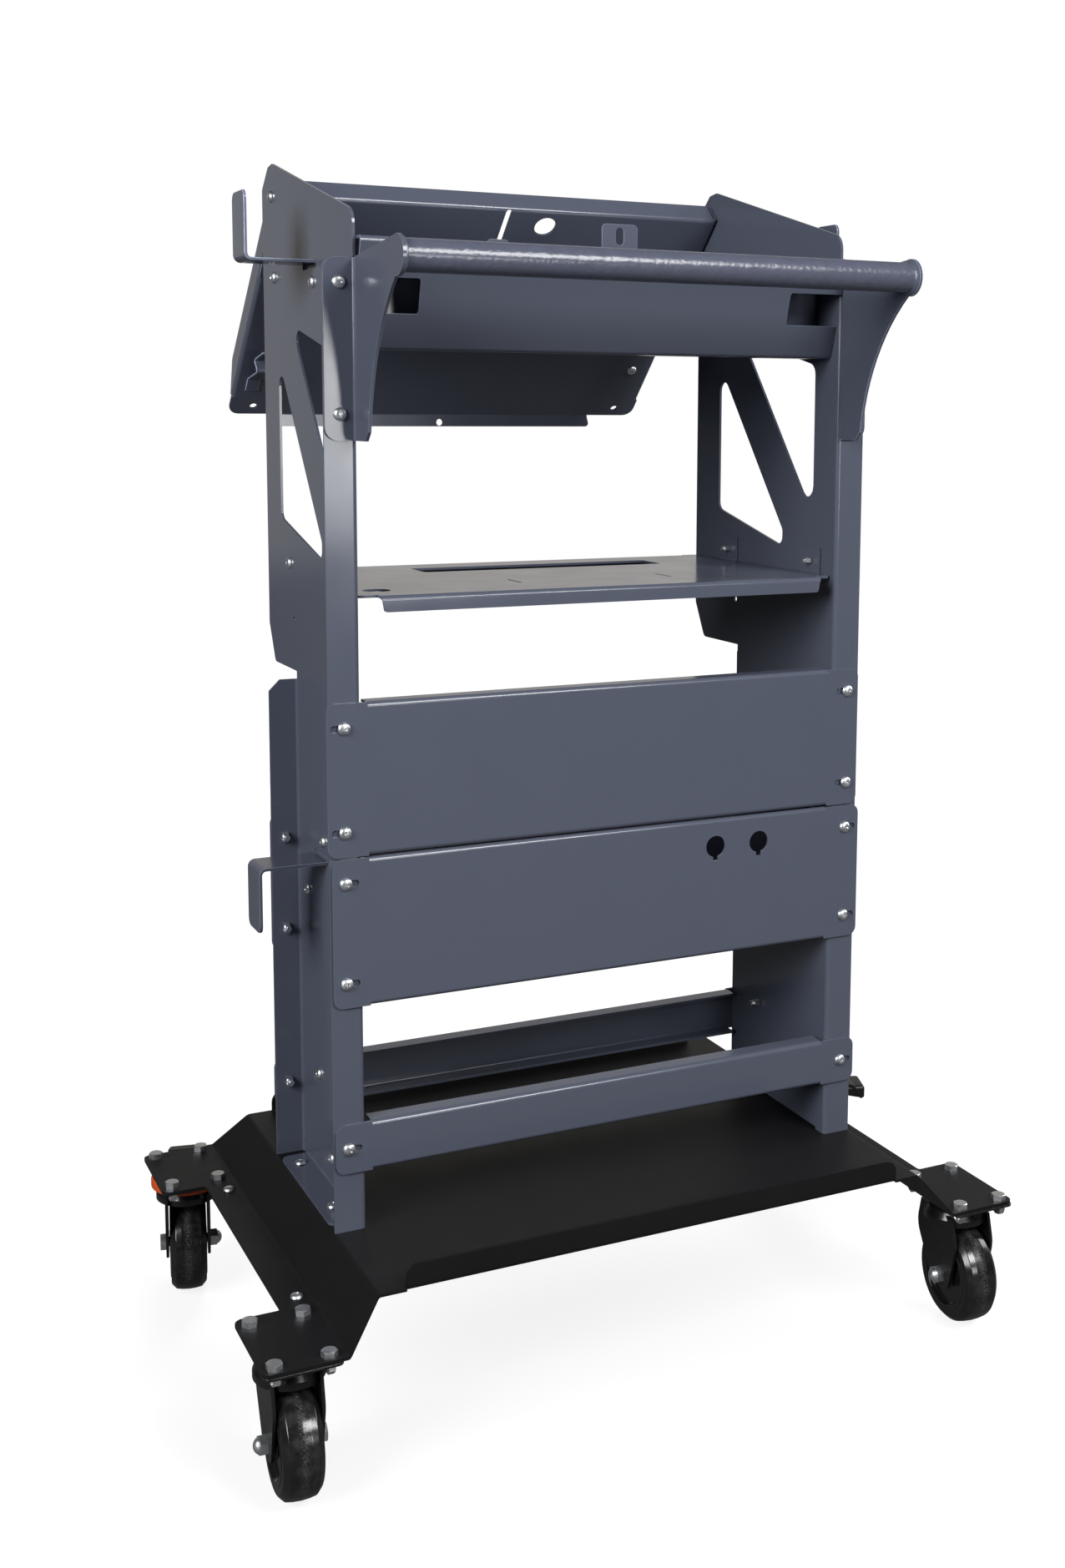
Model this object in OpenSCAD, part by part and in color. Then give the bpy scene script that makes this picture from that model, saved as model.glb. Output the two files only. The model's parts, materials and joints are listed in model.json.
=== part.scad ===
/* [Sheet metal] */
// Thickness of the frames, panels, rails, shelf and tray
sheet_t = 2.5; // [2:0.1:3]
// Thickness of the base sheet
base_t = 3; // [2:0.1:4]
// Thickness of the handle brackets and hooks
bracket_t = 3; // [2:0.1:3.5]
// Inside radius of the bends
bend_r = 2; // [1:0.1:3]
// Gap between a part and the side frames that it sits between
side_gap = 0.8; // [0.3:0.1:1.5]

/* [Side frames] */
// Half the distance between the inner faces of the side frames
frame_half = 252.5; // [230:0.5:270]
// Width of the outward flanges, from the web's inner face
flange_w = 30.5; // [28:0.5:34]
// Depth of the lower post, from front face to rear face
post_depth = 201; // [180:1:215]
// Height of the front flange above the floor
post_top = 1069; // [1064:1:1074]
// Height of the rear flange above the floor
rear_flange_top = 668; // [630:1:672]
// Underside of the wide upper web
step_z = 676; // [674:1:690]
// Rear edge of the wide upper web
head_rear = 296; // [290:1:305]
// Height of the peak of the upper web
crown_z = 1179; // [1170:1:1190]
// Slope of the upper web's top edge, in degrees
crown_slope = 14.8; // [12:0.1:16]
// Distance of the front window from the post's front face
window_front = 44; // [40:1:60]
// Depth of the front window
window_run = 136; // [110:1:140]
// Height of the front window's upper front corner
window_top = 984; // [975:1:990]
// Height of the front window's lower corner
window_low = 826; // [815:1:840]
// Slope of the diagonal brace between the windows, in degrees
brace_slope = 51.5; // [50:0.1:53]
// Width of the diagonal brace
brace_w = 56; // [45:1:60]
// Rear edge of the rear window
window_rear = 244; // [235:1:248]

/* [Front panels and rails] */
// Height of the upper front panel
upper_panel_h = 142; // [120:1:150]
// Top edge of the upper front panel
upper_panel_top = 674; // [660:1:690]
// Height of the lower front panel
lower_panel_h = 140; // [120:1:150]
// Gap between the two front panels
panel_gap = 1.5; // [1:0.1:4]
// Height of the rails
rail_h = 47; // [42:1:60]
// Top edge of the rails
rail_top = 279; // [270:1:300]
// How far the rear rail sits below the front one
rear_rail_drop = 4; // [0:1:10]
// How far the panels and rails reach past the side frames' flanges
panel_over = 0.5; // [0:0.1:1]
// Depth of the flanges bent back from the panels and rails
panel_flange = 20; // [12:1:30]
// Corner radius of the panels
panel_r = 9; // [4:1:12]
// Distance from a panel's edge to its screws
screw_inset = 23; // [18:1:30]
// Radius of the two keyed sockets in the lower panel
socket_r = 11; // [8:0.5:14]
// Distance between the two keyed sockets
socket_pitch = 50; // [40:1:70]
// Sideways place of the keyed socket nearer the middle
socket_x = 116; // [60:1:150]

/* [Shelf] */
// Height of the shelf's top face
shelf_z = 770; // [745:1:790]
// Front edge of the shelf's lip
shelf_front = -5; // [-10:1:-3]
// Rear edge of the shelf
shelf_rear = 294; // [280:1:300]
// Depth of the shelf's front and rear lips
shelf_lip = 15; // [10:1:25]
// Width of the cable slot in the shelf
shelf_slot_w = 274; // [200:1:300]
// Depth of the cable slot in the shelf
shelf_slot_d = 47; // [20:1:60]
// Radius of the cable hole in the shelf's corner
shelf_hole_r = 13; // [8:0.5:16]

/* [Top box] */
// How far the top box's deck lies below the tray's top edge
box_drop = 60; // [58:1:68]
// How far the top box reaches in front of the posts
box_front = 14; // [10:1:18]
// Height of the apron
apron_h = 98; // [88:1:103]
// How far the apron leans back over its height
apron_lean = 29; // [20:1:35]
// Height of the upstand behind the apron
upstand_h = 70; // [40:1:75]
// Width of the windows in the apron
vent_w = 55; // [40:1:65]
// Height of the windows in the apron
vent_h = 31; // [20:1:36]
// Height of the tall tab on the deck
tab_h = 36; // [25:1:45]

/* [Device tray] */
// Length of the device tray down its slope
tray_l = 308; // [280:1:330]
// Height of the tray's upper and side flanges
tray_flange = 25; // [18:1:30]
// Distance of the tray's top edge behind the posts' front face
tray_top_y = 252; // [248:1:256]
// Height of the tray's underside at its top edge
tray_top_z = 1148; // [1144:1:1152]
// Width of the tray's lower lip and of the device stop
tray_lip_w = 390; // [300:1:420]
// Height of the device stop
stop_h = 20; // [12:1:30]

/* [Handle] */
// Outer radius of the handle tube
tube_r = 14; // [12:0.5:16]
// Wall of the handle tube
tube_wall = 2; // [1.5:0.1:3]
// Distance of the tube's axis in front of the posts
handle_reach = 118; // [100:1:130]
// Height of the tube's axis
handle_z = 1063; // [1058:1:1068]
// Lower end of the handle brackets
bracket_low = 909; // [895:1:920]

/* [Cable hooks] */
// Width of a hook
hook_w = 43; // [30:1:50]
// Distance from the web's inner face to a hook's tip
hook_reach = 69.5; // [50:0.5:80]
// Height of a hook's tip
hook_rise = 61; // [40:1:70]
// Inside radius of the hooks' bends
hook_r = 4; // [3:0.5:6]
// Height of the upper hooks' arms
upper_hook_z = 1075; // [1070:1:1078]
// Front edge of the upper hooks
upper_hook_y = 111; // [100:1:125]
// Height of the lower hooks' arms
lower_hook_z = 500; // [485:1:515]
// Front edge of the lower hooks
lower_hook_y = 100; // [90:1:110]

/* [Base] */
// Height of the deck's top face above the floor
deck_z = 175; // [170:1:180]
// How far the flat deck reaches past the side frames' flanges
deck_over = 0.5; // [0.5:0.1:4]
// Front edge of the deck
deck_front = -127; // [-135:1:-120]
// Rear edge of the deck
deck_rear = 316; // [305:1:325]
// Height of the wheel ears' top face
ear_z = 135; // [133:0.5:138]
// Width of the slope between deck and ears
slope_run = 32; // [26:1:34]
// Width of the strips beside the slopes
strip_w = 31.3; // [28:0.1:34]
// Width of the ears beside the slopes
ear_w = 74.8; // [72:0.1:78]
// Length of each ear
ear_l = 103.3; // [100:0.1:110]
// How far the ears reach past the swivel axes
ear_overhang = 49; // [48:0.5:54]
// Height of the lips above the deck
deck_lip = 21; // [12:1:30]
// Distance of the lips' ends from the deck's side edges
lip_inset = 26.5; // [24:0.5:60]

/* [Casters] */
// Wheel radius
wheel_r = 50; // [48:0.5:50.5]
// Width of the tread
wheel_w = 34; // [28:1:36]
// Distance of the swivel axes from the foot of the slopes
swivel_inset = 39; // [37:0.5:41]
// Distance between front and rear swivel axes
wheelbase = 394; // [380:1:410]
// Distance of the front swivel axes in front of the posts
front_swivel = 96; // [90:1:100]
// Offset of the wheel's axle from the swivel axis
trail = 10; // [5:1:16]
// Radius of the axle bolts
axle_r = 5; // [4:0.5:6]
// Radius of the kingpins
kingpin_r = 6; // [5:0.5:7]
// Distance between a caster's bolts across the cart
bolt_pitch_x = 48; // [46:1:50]
// Distance between a caster's bolts along the cart
bolt_pitch_y = 80; // [76:1:84]
// Turn of the front left caster, in degrees from the rear towards the right
turn_fl = 183; // [0:1:360]
// Turn of the front right caster
turn_fr = 184; // [0:1:360]
// Turn of the rear left caster
turn_rl = 12; // [0:1:360]
// Turn of the rear right caster
turn_rr = 110; // [0:1:360]
// Reach of the brake pedal from the swivel axis
pedal_reach = 124; // [105:1:130]

/* [Hidden] */
$fn = 48;
eps = 0.01;
bend_out = bend_r + sheet_t;
panel_half = frame_half + flange_w + panel_over;
deck_half = frame_half + flange_w + deck_over;
slope_foot = deck_half + slope_run;
strip_half = slope_foot + strip_w;
ear_half = slope_foot + ear_w;
track_half = slope_foot + swivel_inset;
lip_half = deck_half - lip_inset;
post_screw_x = frame_half + flange_w - 14;
box_z = tray_top_z - box_drop;
apron_low = box_z - apron_h;
wheelbase_mid = wheelbase / 2 - front_swivel;
rear_swivel_y = wheelbase - front_swivel;
wing_front = -front_swivel - ear_overhang;
wing_rear = rear_swivel_y + ear_overhang;
lower_panel_top = upper_panel_top - upper_panel_h - panel_gap;

// Screws: shank radius, hole radius, head radius and height, nut width and height
screw_r = 3;
hole_r = 3.3;
head_r = 6;
head_h = 3.6;
nut_w = 10;
nut_h = 5;
bolt_r = 4;
bolt_hole_r = 4.4;
bolt_w = 13;
bolt_h = 5.5;
bolt_nut_h = 6.5;
bolt_end = 2;

// Web features, as [distance behind the post's front face, height]
shelf_tab_y = [44, 215];
shelf_tab_w = 36;
shelf_tab_h = 27;
shelf_screw_z = shelf_z + 13;
box_tab_y = 255;
box_tab_w = 36;
box_tab_h = 38;
box_screw_z = box_z - 21;
tray_screw = [tray_top_y + 10, tray_top_z - 1];
spare_hole = [203, 727];
web_bolts = [[167, 460], [137, 278], [97, 205]];
foot_front = 16;
foot_rear = post_depth - 16;
foot_screw_y = [52, 162];
hook_screw_in = 12;
hook_screw_drop = 20;
hook_leg = 34;
brace_rise = brace_w / cos(brace_slope);

// Caster heights above the floor
axle_z = wheel_r;
plate_t = 2.5;
plate_low = ear_z - base_t - plate_t;
race_h = 8.5;
swivel_gap = 0.3;
crown_top = plate_low - race_h - swivel_gap;
fork_t = 3;
hub_half = wheel_w / 2 + 2.5;
fork_in = hub_half + 0.5;
pivot_y = 47;
pivot_z = 100;
pivot_r = 3;
ring_r = 34;

// Points of a rounded corner at b, between a and c
function unit(v) = v / norm(v);
function corner_arc(a, b, c, r, n) =
  let (
    u = unit(a - b),
    w = unit(c - b),
    half = acos(max(-1, min(1, u * w))) / 2,
    centre = b + unit(u + w) * r / sin(half),
    start = b + u * r / tan(half) - centre,
    end = b + w * r / tan(half) - centre,
    a0 = atan2(start.y, start.x),
    turn = (atan2(end.y, end.x) - a0 + 540) % 360 - 180
  )
  [for (i = [0:n]) centre + r * [cos(a0 + turn * i / n), sin(a0 + turn * i / n)]];

// An outline whose points are [x, y, corner radius]
function rounded(points, n = 5) =
  let (count = len(points))
  [for (i = [0:count - 1])
    let (
      a = points[(i + count - 1) % count],
      b = points[i],
      c = points[(i + 1) % count]
    )
    each b.z > 0
      ? corner_arc([a.x, a.y], [b.x, b.y], [c.x, c.y], b.z, n)
      : [[b.x, b.y]]];

function mirrored(half) = concat(half, [for (i = [len(half) - 1:-1:0]) [-half[i].x, half[i].y, half[i].z]]);
function box_outline(x0, x1, y0, y1, r) = [[x0, y0, r], [x1, y0, r], [x1, y1, r], [x0, y1, r]];

// The section of a bent sheet: the path is one face, and the thickness lies on its left
function left_of(v) = [-v.y, v.x];
function turn_of(a, b, c) = cross(b - a, c - b);
function offset_point(path, i, t) =
  let (
    last = len(path) - 1,
    n1 = left_of(unit(path[max(i, 1)] - path[max(i, 1) - 1])),
    n2 = left_of(unit(path[min(i, last - 1) + 1] - path[min(i, last - 1)]))
  )
  path[i] + (n1 + n2) * t / (1 + n1 * n2);
function sheet_side(path, t, r_left, r_right) =
  [for (i = [0:len(path) - 1])
    let (p = offset_point(path, i, t))
    each i == 0 || i == len(path) - 1
      ? [p]
      : corner_arc(
          offset_point(path, i - 1, t), p, offset_point(path, i + 1, t),
          turn_of(path[i - 1], path[i], path[i + 1]) > 0 ? r_left : r_right, 5)];
function reversed(list) = [for (i = [len(list) - 1:-1:0]) list[i]];
function sheet_section(path, t, r) = concat(
  sheet_side(path, 0, r + t, r),
  reversed(sheet_side(path, t, r, r + t)));

// Extrusions along the three axes: outlines are in (y, z), (x, z) and (x, y)
module along_x(x0, x1) {
  translate([x0, 0, 0]) rotate([90, 0, 90]) linear_extrude(x1 - x0) children();
}
module along_y(y0, y1) {
  translate([0, y1, 0]) rotate([90, 0, 0]) linear_extrude(y1 - y0) children();
}
module along_z(z0, z1) {
  translate([0, 0, z0]) linear_extrude(z1 - z0) children();
}
module bent(path, t, r = bend_r) {
  polygon(sheet_section(path, t, r));
}
module both_sides() {
  children();
  mirror([1, 0, 0]) children();
}
module slot_2d(length, r) {
  translate([-length / 2 + r, 0]) circle(r);
  translate([length / 2 - r, 0]) circle(r);
  square([length - 2 * r, 2 * r], center = true);
}

// Everything is drawn from the posts' front face, then centred between the casters
module cart() {
  translate([0, -wheelbase_mid, 0]) children();
}

// Fasteners stand on z = 0 with the head upwards and the shank downwards
module pan_screw(length) {
  difference() {
    intersection() {
      cylinder(r = head_r, h = head_h);
      translate([0, 0, head_h - 11]) sphere(r = 11);
    }
    for (turn = [0, 90])
      rotate([0, 0, turn]) translate([-3.2, -0.6, head_h - 1.8]) cube([6.4, 1.2, 2]);
  }
  translate([0, 0, -length]) cylinder(r = screw_r, h = length + eps);
}
module hex_nut(width, height, bore_r) {
  difference() {
    cylinder(d = width / cos(30), h = height, $fn = 6);
    translate([0, 0, -1]) cylinder(r = bore_r, h = height + 2);
  }
}
module small_nut() {
  hex_nut(nut_w, nut_h, screw_r + 0.1);
}
module hex_bolt(width, head, shank_r, length) {
  intersection() {
    cylinder(d = width / cos(30), h = head, $fn = 6);
    translate([0, 0, head - 12]) sphere(r = 14);
  }
  translate([0, 0, -length]) cylinder(r = shank_r, h = length + eps);
}

// Places for fasteners: children stand with their head away from the sheet
module facing_front(y) {
  translate([0, y, 0]) rotate([90, 0, 0]) children();
}
module on_posts(heights) {
  both_sides() for (z = heights) translate([post_screw_x, 0, z]) children();
}

// Base
deck_half_outline = [
  [lip_half, deck_front + base_t + bend_r, 0],
  [lip_half, deck_front, 0],
  [deck_half, deck_front, 2],
  [slope_foot, wing_front, 2],
  [ear_half, wing_front, 7],
  [ear_half, wing_front + ear_l, 9],
  [strip_half, wing_front + ear_l, 3],
  [strip_half, wing_rear - ear_l, 3],
  [ear_half, wing_rear - ear_l, 9],
  [ear_half, wing_rear, 7],
  [slope_foot, wing_rear, 2],
  [deck_half, deck_rear, 2],
  [lip_half, deck_rear, 0],
  [lip_half, deck_rear - base_t - bend_r, 0]
];
strip_screw_x = slope_foot + 12;
strip_screw_y = [-25, 224];

module caster_places(names) {
  for (name = names)
    translate([track_half * (name[1] == "l" ? -1 : 1), name[0] == "f" ? -front_swivel : rear_swivel_y, 0])
      children();
}
module bolt_places() {
  for (x = [-1, 1], y = [-1, 1])
    translate([x * bolt_pitch_x / 2, y * bolt_pitch_y / 2, 0]) children();
}

module base() {
  color("#26272b") difference() {
    union() {
      intersection() {
        along_y(wing_front, wing_rear)
          bent([[ear_half + 1, ear_z], [slope_foot, ear_z], [deck_half, deck_z],
            [-deck_half, deck_z], [-slope_foot, ear_z], [-ear_half - 1, ear_z]], base_t);
        along_z(ear_z - 2 * base_t, deck_z + 1)
          polygon(rounded(mirrored(deck_half_outline)));
      }
      intersection() {
        union() {
          along_x(-lip_half, lip_half)
            bent([[deck_front, deck_z + deck_lip], [deck_front, deck_z - base_t],
              [deck_front + 3 * base_t, deck_z - base_t]], base_t);
          along_x(-lip_half, lip_half)
            bent([[deck_rear - 3 * base_t, deck_z - base_t], [deck_rear, deck_z - base_t],
              [deck_rear, deck_z + deck_lip]], base_t);
        }
        along_y(deck_front - 1, deck_rear + 1)
          polygon(rounded([[-lip_half, deck_z - base_t, 0], [lip_half, deck_z - base_t, 0],
            [lip_half, deck_z + deck_lip, 12], [-lip_half, deck_z + deck_lip, 12]]));
      }
    }
    caster_places(["fl", "fr", "rl", "rr"]) bolt_places()
      along_z(ear_z - 2 * base_t, ear_z + 1) circle(bolt_hole_r);
    both_sides() {
      for (y = strip_screw_y) translate([strip_screw_x, y, 0])
        along_z(ear_z - 2 * base_t, ear_z + 1) circle(hole_r);
      for (y = foot_screw_y) translate([post_screw_x, y, 0])
        along_z(deck_z - 2 * base_t, deck_z + 1) circle(hole_r);
    }
  }
}

// Side frames: a tall web with flanges bent outwards
web_outline = [
  [bend_out, deck_z, 0],
  [foot_front, deck_z, 0],
  [foot_front, deck_z + bend_out, 0],
  [foot_rear, deck_z + bend_out, 0],
  [foot_rear, deck_z, 0],
  [post_depth - bend_out, deck_z, 0],
  [post_depth - bend_out, step_z, 0],
  [head_rear - 21, step_z, 8],
  [head_rear, step_z + 39, 8],
  [head_rear, crown_z - 22, 6],
  [head_rear - 23, crown_z - 2, 5],
  [head_rear - 38, crown_z, 3],
  [0, crown_z - (head_rear - 38) * tan(crown_slope), 17],
  [0, post_top + 1, 0],
  [bend_out, post_top + 1, 0]
];
front_window = [
  [window_front, window_top, 12],
  [window_front + window_run, window_top + window_run * tan(12.5), 10],
  [window_front + window_run, window_low + window_run * tan(brace_slope), 9],
  [window_front, window_low, 12]
];
window_span = window_rear - window_front;
rear_window = [
  [window_rear, window_low + window_span * tan(brace_slope) - brace_rise, 10],
  [window_front + 60, window_low + 60 * tan(brace_slope) - brace_rise, 8],
  [window_front + 60, window_low - brace_rise + 60 * tan(brace_slope) - 18, 8],
  [window_rear, window_low + 1, 10]
];
hook_slot_low = bracket_t + hook_r + 0.4;
post_corner_r = 11;
corner_cut = 11;

module side_frame() {
  x0 = frame_half;
  x1 = frame_half + flange_w;
  color("#565965") difference() {
    union() {
      along_x(x0, x0 + sheet_t) polygon(rounded(web_outline));
      intersection() {
        along_z(deck_z, post_top) bent([[x0, bend_out + 1], [x0, 0], [x1, 0]], sheet_t);
        along_y(-1, bend_out + 2)
          polygon(rounded([[x0 - 1, deck_z, 0], [x1, deck_z, 0], [x1, post_top, post_corner_r],
            [x0 - 1, post_top, 0]]));
      }
      along_z(deck_z, rear_flange_top)
        bent([[x1, post_depth], [x0, post_depth], [x0, post_depth - bend_out - 1]], sheet_t);
      along_y(foot_front, foot_rear)
        bent([[x0, deck_z + bend_out + 1], [x0, deck_z], [x0 + bend_out + 1, deck_z]], sheet_t);
      along_z(deck_z, deck_z + sheet_t)
        polygon(rounded([[x0 + bend_out, foot_front, 0], [x1, foot_front, 8],
          [x1, foot_rear, 8], [x0 + bend_out, foot_rear, 0]]));
    }
    along_x(x0 - 1, x1) {
      polygon(rounded(front_window));
      polygon(rounded(rear_window));
      for (y = shelf_tab_y) translate([y, shelf_screw_z]) circle(hole_r);
      translate([box_tab_y, box_screw_z]) circle(hole_r);
      translate(tray_screw) circle(hole_r);
      translate(spare_hole) circle(hole_r);
      for (place = web_bolts) translate(place) circle(hole_r);
      translate([upper_hook_y + hook_screw_in, upper_hook_z - hook_screw_drop]) circle(hole_r);
      translate([upper_hook_y - 0.5, upper_hook_z - hook_slot_low]) square([hook_w + 1, hook_slot_low + 0.3]);
      translate([lower_hook_y + hook_screw_in, lower_hook_z + hook_screw_drop]) circle(hole_r);
      translate([lower_hook_y - 0.5, lower_hook_z - 0.3]) square([hook_w + 1, hook_slot_low + 0.3]);
    }
    // The rear flange's upper corner is cut off
    along_y(post_depth - sheet_t - 1, post_depth + 1)
      translate([x1, rear_flange_top]) rotate(45) square([corner_cut * sqrt(2), 3 * corner_cut], center = true);
    along_y(-1, sheet_t + 1) for (z = post_holes) translate([post_screw_x, z]) circle(hole_r);
    along_y(post_depth - sheet_t - 1, post_depth + 1)
      for (z = rear_holes) translate([post_screw_x, z]) circle(hole_r);
    along_z(deck_z - 1, deck_z + sheet_t + 1)
      for (y = foot_screw_y) translate([post_screw_x, y]) rotate(90) slot_2d(16, hole_r);
  }
}
module side_frame_right() { cart() side_frame(); }
module side_frame_left() { cart() mirror([1, 0, 0]) side_frame(); }

// Front panels and rails share one form: a plate over the posts, flanged between them
upper_panel_z = [upper_panel_top - screw_inset, upper_panel_top - upper_panel_h + screw_inset];
lower_panel_z = [lower_panel_top - screw_inset, lower_panel_top - lower_panel_h + screw_inset];
front_rail_z = rail_top - rail_h / 2;
rear_rail_z = front_rail_z - rear_rail_drop;
bracket_z = [post_top - 21.5, bracket_low + 23.5];
post_holes = concat(upper_panel_z, lower_panel_z, [front_rail_z], bracket_z);
rear_holes = concat(lower_panel_z, [rear_rail_z]);
panel_slot = 18;
flange_half = frame_half - 6;

module cover_plate(height, top, shift, slot_shift, heights) {
  low = top - height;
  difference() {
    union() {
      difference() {
        along_y(-sheet_t, 0)
          translate([shift, 0])
            polygon(rounded(box_outline(-panel_half, panel_half, low, top, panel_r)));
        for (z = [low - 1, top - bend_out])
          translate([-flange_half, -sheet_t - 1, z]) cube([2 * flange_half, sheet_t + 2, bend_out + 1]);
      }
      along_x(-flange_half, flange_half) {
        bent([[panel_flange - sheet_t, top], [-sheet_t, top], [-sheet_t, top - bend_out - 1]], sheet_t);
        bent([[-sheet_t, low + bend_out + 1], [-sheet_t, low], [panel_flange - sheet_t, low]], sheet_t);
      }
    }
    along_y(-sheet_t - 1, 1)
      for (side = [-1, 1], z = heights)
        translate([side * post_screw_x + slot_shift, z]) slot_2d(panel_slot, hole_r);
  }
}
module upper_panel() {
  color("#555864") cart() cover_plate(upper_panel_h, upper_panel_top, -1.5, -4, upper_panel_z);
}
module lower_panel() {
  key_w = 6;
  key_drop = 3.5;
  color("#555864") cart() difference() {
    cover_plate(lower_panel_h, lower_panel_top, 2, 4, lower_panel_z);
    along_y(-sheet_t - 1, 1)
      for (x = [socket_x, socket_x + socket_pitch])
        translate([x, lower_panel_top - 28]) {
          circle(socket_r);
          translate([-key_w / 2, -socket_r - key_drop]) square([key_w, socket_r]);
        }
  }
}
module front_rail() {
  color("#555864") cart() cover_plate(rail_h, rail_top, 2, 4, [front_rail_z]);
}
module on_rear() {
  translate([0, post_depth, 0]) mirror([0, 1, 0]) children();
}
module rear_rail() {
  color("#555864") cart() on_rear() cover_plate(rail_h, rail_top - rear_rail_drop, 0, 4, [rear_rail_z]);
}
module rear_panel() {
  color("#555864") cart() on_rear() cover_plate(lower_panel_h, lower_panel_top, 0, 4, lower_panel_z);
}

// Shelf
shelf_half = frame_half - side_gap;
shelf_lip_half = shelf_half - 18.7;
shelf_slot = [20, 224.5];
shelf_hole = [30.7 - shelf_half, 45.7];
shelf_slits = [[-68, 79.5], [96, 79.5]];
module side_tab(y, width, z, height) {
  both_sides() along_y(y - width / 2, y + width / 2)
    bent([[frame_half - bend_out - 2, z - sheet_t], [frame_half, z - sheet_t],
      [frame_half, z + height]], sheet_t);
}
module tab_notch(y, width, z) {
  both_sides() translate([frame_half - bend_out, y - width / 2 - 1, z - sheet_t - 1])
    cube([bend_out + 1, width + 2, sheet_t + 2]);
}
module shelf() {
  plate = [
    [shelf_half, 7, 5], [shelf_lip_half, 7, 0], [shelf_lip_half, shelf_front + bend_out, 0],
    [-shelf_lip_half, shelf_front + bend_out, 0], [-shelf_lip_half, 7, 0], [-shelf_half, 7, 5],
    [-shelf_half, shelf_rear, 5], [-shelf_lip_half, shelf_rear, 0], [-shelf_lip_half, shelf_rear - bend_out, 0],
    [shelf_lip_half, shelf_rear - bend_out, 0], [shelf_lip_half, shelf_rear, 0], [shelf_half, shelf_rear, 5]
  ];
  lip_low = shelf_z - shelf_lip;
  color("#5c5f6b") cart() difference() {
    union() {
      difference() {
        along_z(shelf_z - sheet_t, shelf_z) polygon(rounded(plate));
        for (y = shelf_tab_y) tab_notch(y, shelf_tab_w, shelf_z);
      }
      for (y = shelf_tab_y) side_tab(y, shelf_tab_w, shelf_z, shelf_tab_h);
      intersection() {
        along_x(-shelf_lip_half, shelf_lip_half) {
          bent([[shelf_front + bend_out + 1, shelf_z], [shelf_front, shelf_z], [shelf_front, lip_low]], sheet_t);
          bent([[shelf_rear, lip_low], [shelf_rear, shelf_z], [shelf_rear - bend_out - 1, shelf_z]], sheet_t);
        }
        along_y(shelf_front - 1, shelf_rear + 1)
          polygon(rounded([[-shelf_lip_half, shelf_z + 1, 0], [-shelf_lip_half, shelf_z - 3, 0],
            [10 - shelf_lip_half, lip_low, 4], [shelf_lip_half - 10, lip_low, 4],
            [shelf_lip_half, shelf_z - 3, 0], [shelf_lip_half, shelf_z + 1, 0]]));
      }
    }
    along_x(-frame_half - 1, frame_half + 1)
      for (y = shelf_tab_y) translate([y, shelf_screw_z]) circle(hole_r);
    along_z(shelf_z - sheet_t - 1, shelf_z + 1) {
      translate(shelf_slot) polygon(rounded(box_outline(
        -shelf_slot_w / 2, shelf_slot_w / 2, -shelf_slot_d / 2, shelf_slot_d / 2, 4)));
      translate(shelf_hole) circle(shelf_hole_r);
      for (place = shelf_slits) translate(place) rotate(90) slot_2d(35, 1.5);
    }
  }
}

// Top box: deck, leaning apron, return flange and upstand from one sheet
box_half = frame_half - side_gap;
box_rear = tray_top_y + tray_top_z - box_z;
tab_y = 125;
module deck_tab(x, width, height, slotted) {
  difference() {
    along_y(tab_y - sheet_t, tab_y)
      polygon(rounded([[x - width / 2, box_z - sheet_t, 0], [x + width / 2, box_z - sheet_t, 0],
        [x + width / 2, box_z + height, 5], [x - width / 2, box_z + height, 5]]));
    if (slotted)
      along_y(tab_y - sheet_t - 1, tab_y + 1)
        translate([x, box_z + height - 12]) rotate(90) slot_2d(18, 4.5);
  }
}
module top_box() {
  apron_y = apron_lean - box_front;
  tall_x = 66;
  tall_w = 40;
  short_x = -67;
  short_w = 24;
  short_h = 15;
  color("#3f424c") cart() difference() {
    union() {
      difference() {
        along_x(-box_half, box_half)
          bent([[box_rear + 15, box_z - 15], [box_rear, box_z], [-box_front, box_z],
            [apron_y, apron_low], [apron_y + 30, apron_low], [apron_y + 30, apron_low + upstand_h]], sheet_t);
        tab_notch(box_tab_y, box_tab_w, box_z);
        along_z(box_z - sheet_t - 1, box_z + 1) {
          translate([tall_x - tall_w / 2 - 2, tab_y - tab_h]) square([tall_w + 4, tab_h - sheet_t]);
          translate([short_x - short_w / 2 - 2, tab_y - short_h]) square([short_w + 4, short_h - sheet_t]);
        }
      }
      mirror([0, 0, 1]) translate([0, 0, -2 * box_z + sheet_t]) side_tab(box_tab_y, box_tab_w, box_z, box_tab_h);
      deck_tab(tall_x, tall_w, tab_h, true);
      deck_tab(short_x, short_w, short_h, false);
    }
    along_x(-frame_half - 1, frame_half + 1) translate([box_tab_y, box_screw_z]) circle(hole_r);
    both_sides() along_y(-box_front - 1, apron_y + 20)
      polygon(rounded(box_outline(frame_half - 5 - vent_w, frame_half + 5, apron_low + 32,
        apron_low + 32 + vent_h, 3)));
  }
}

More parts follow.
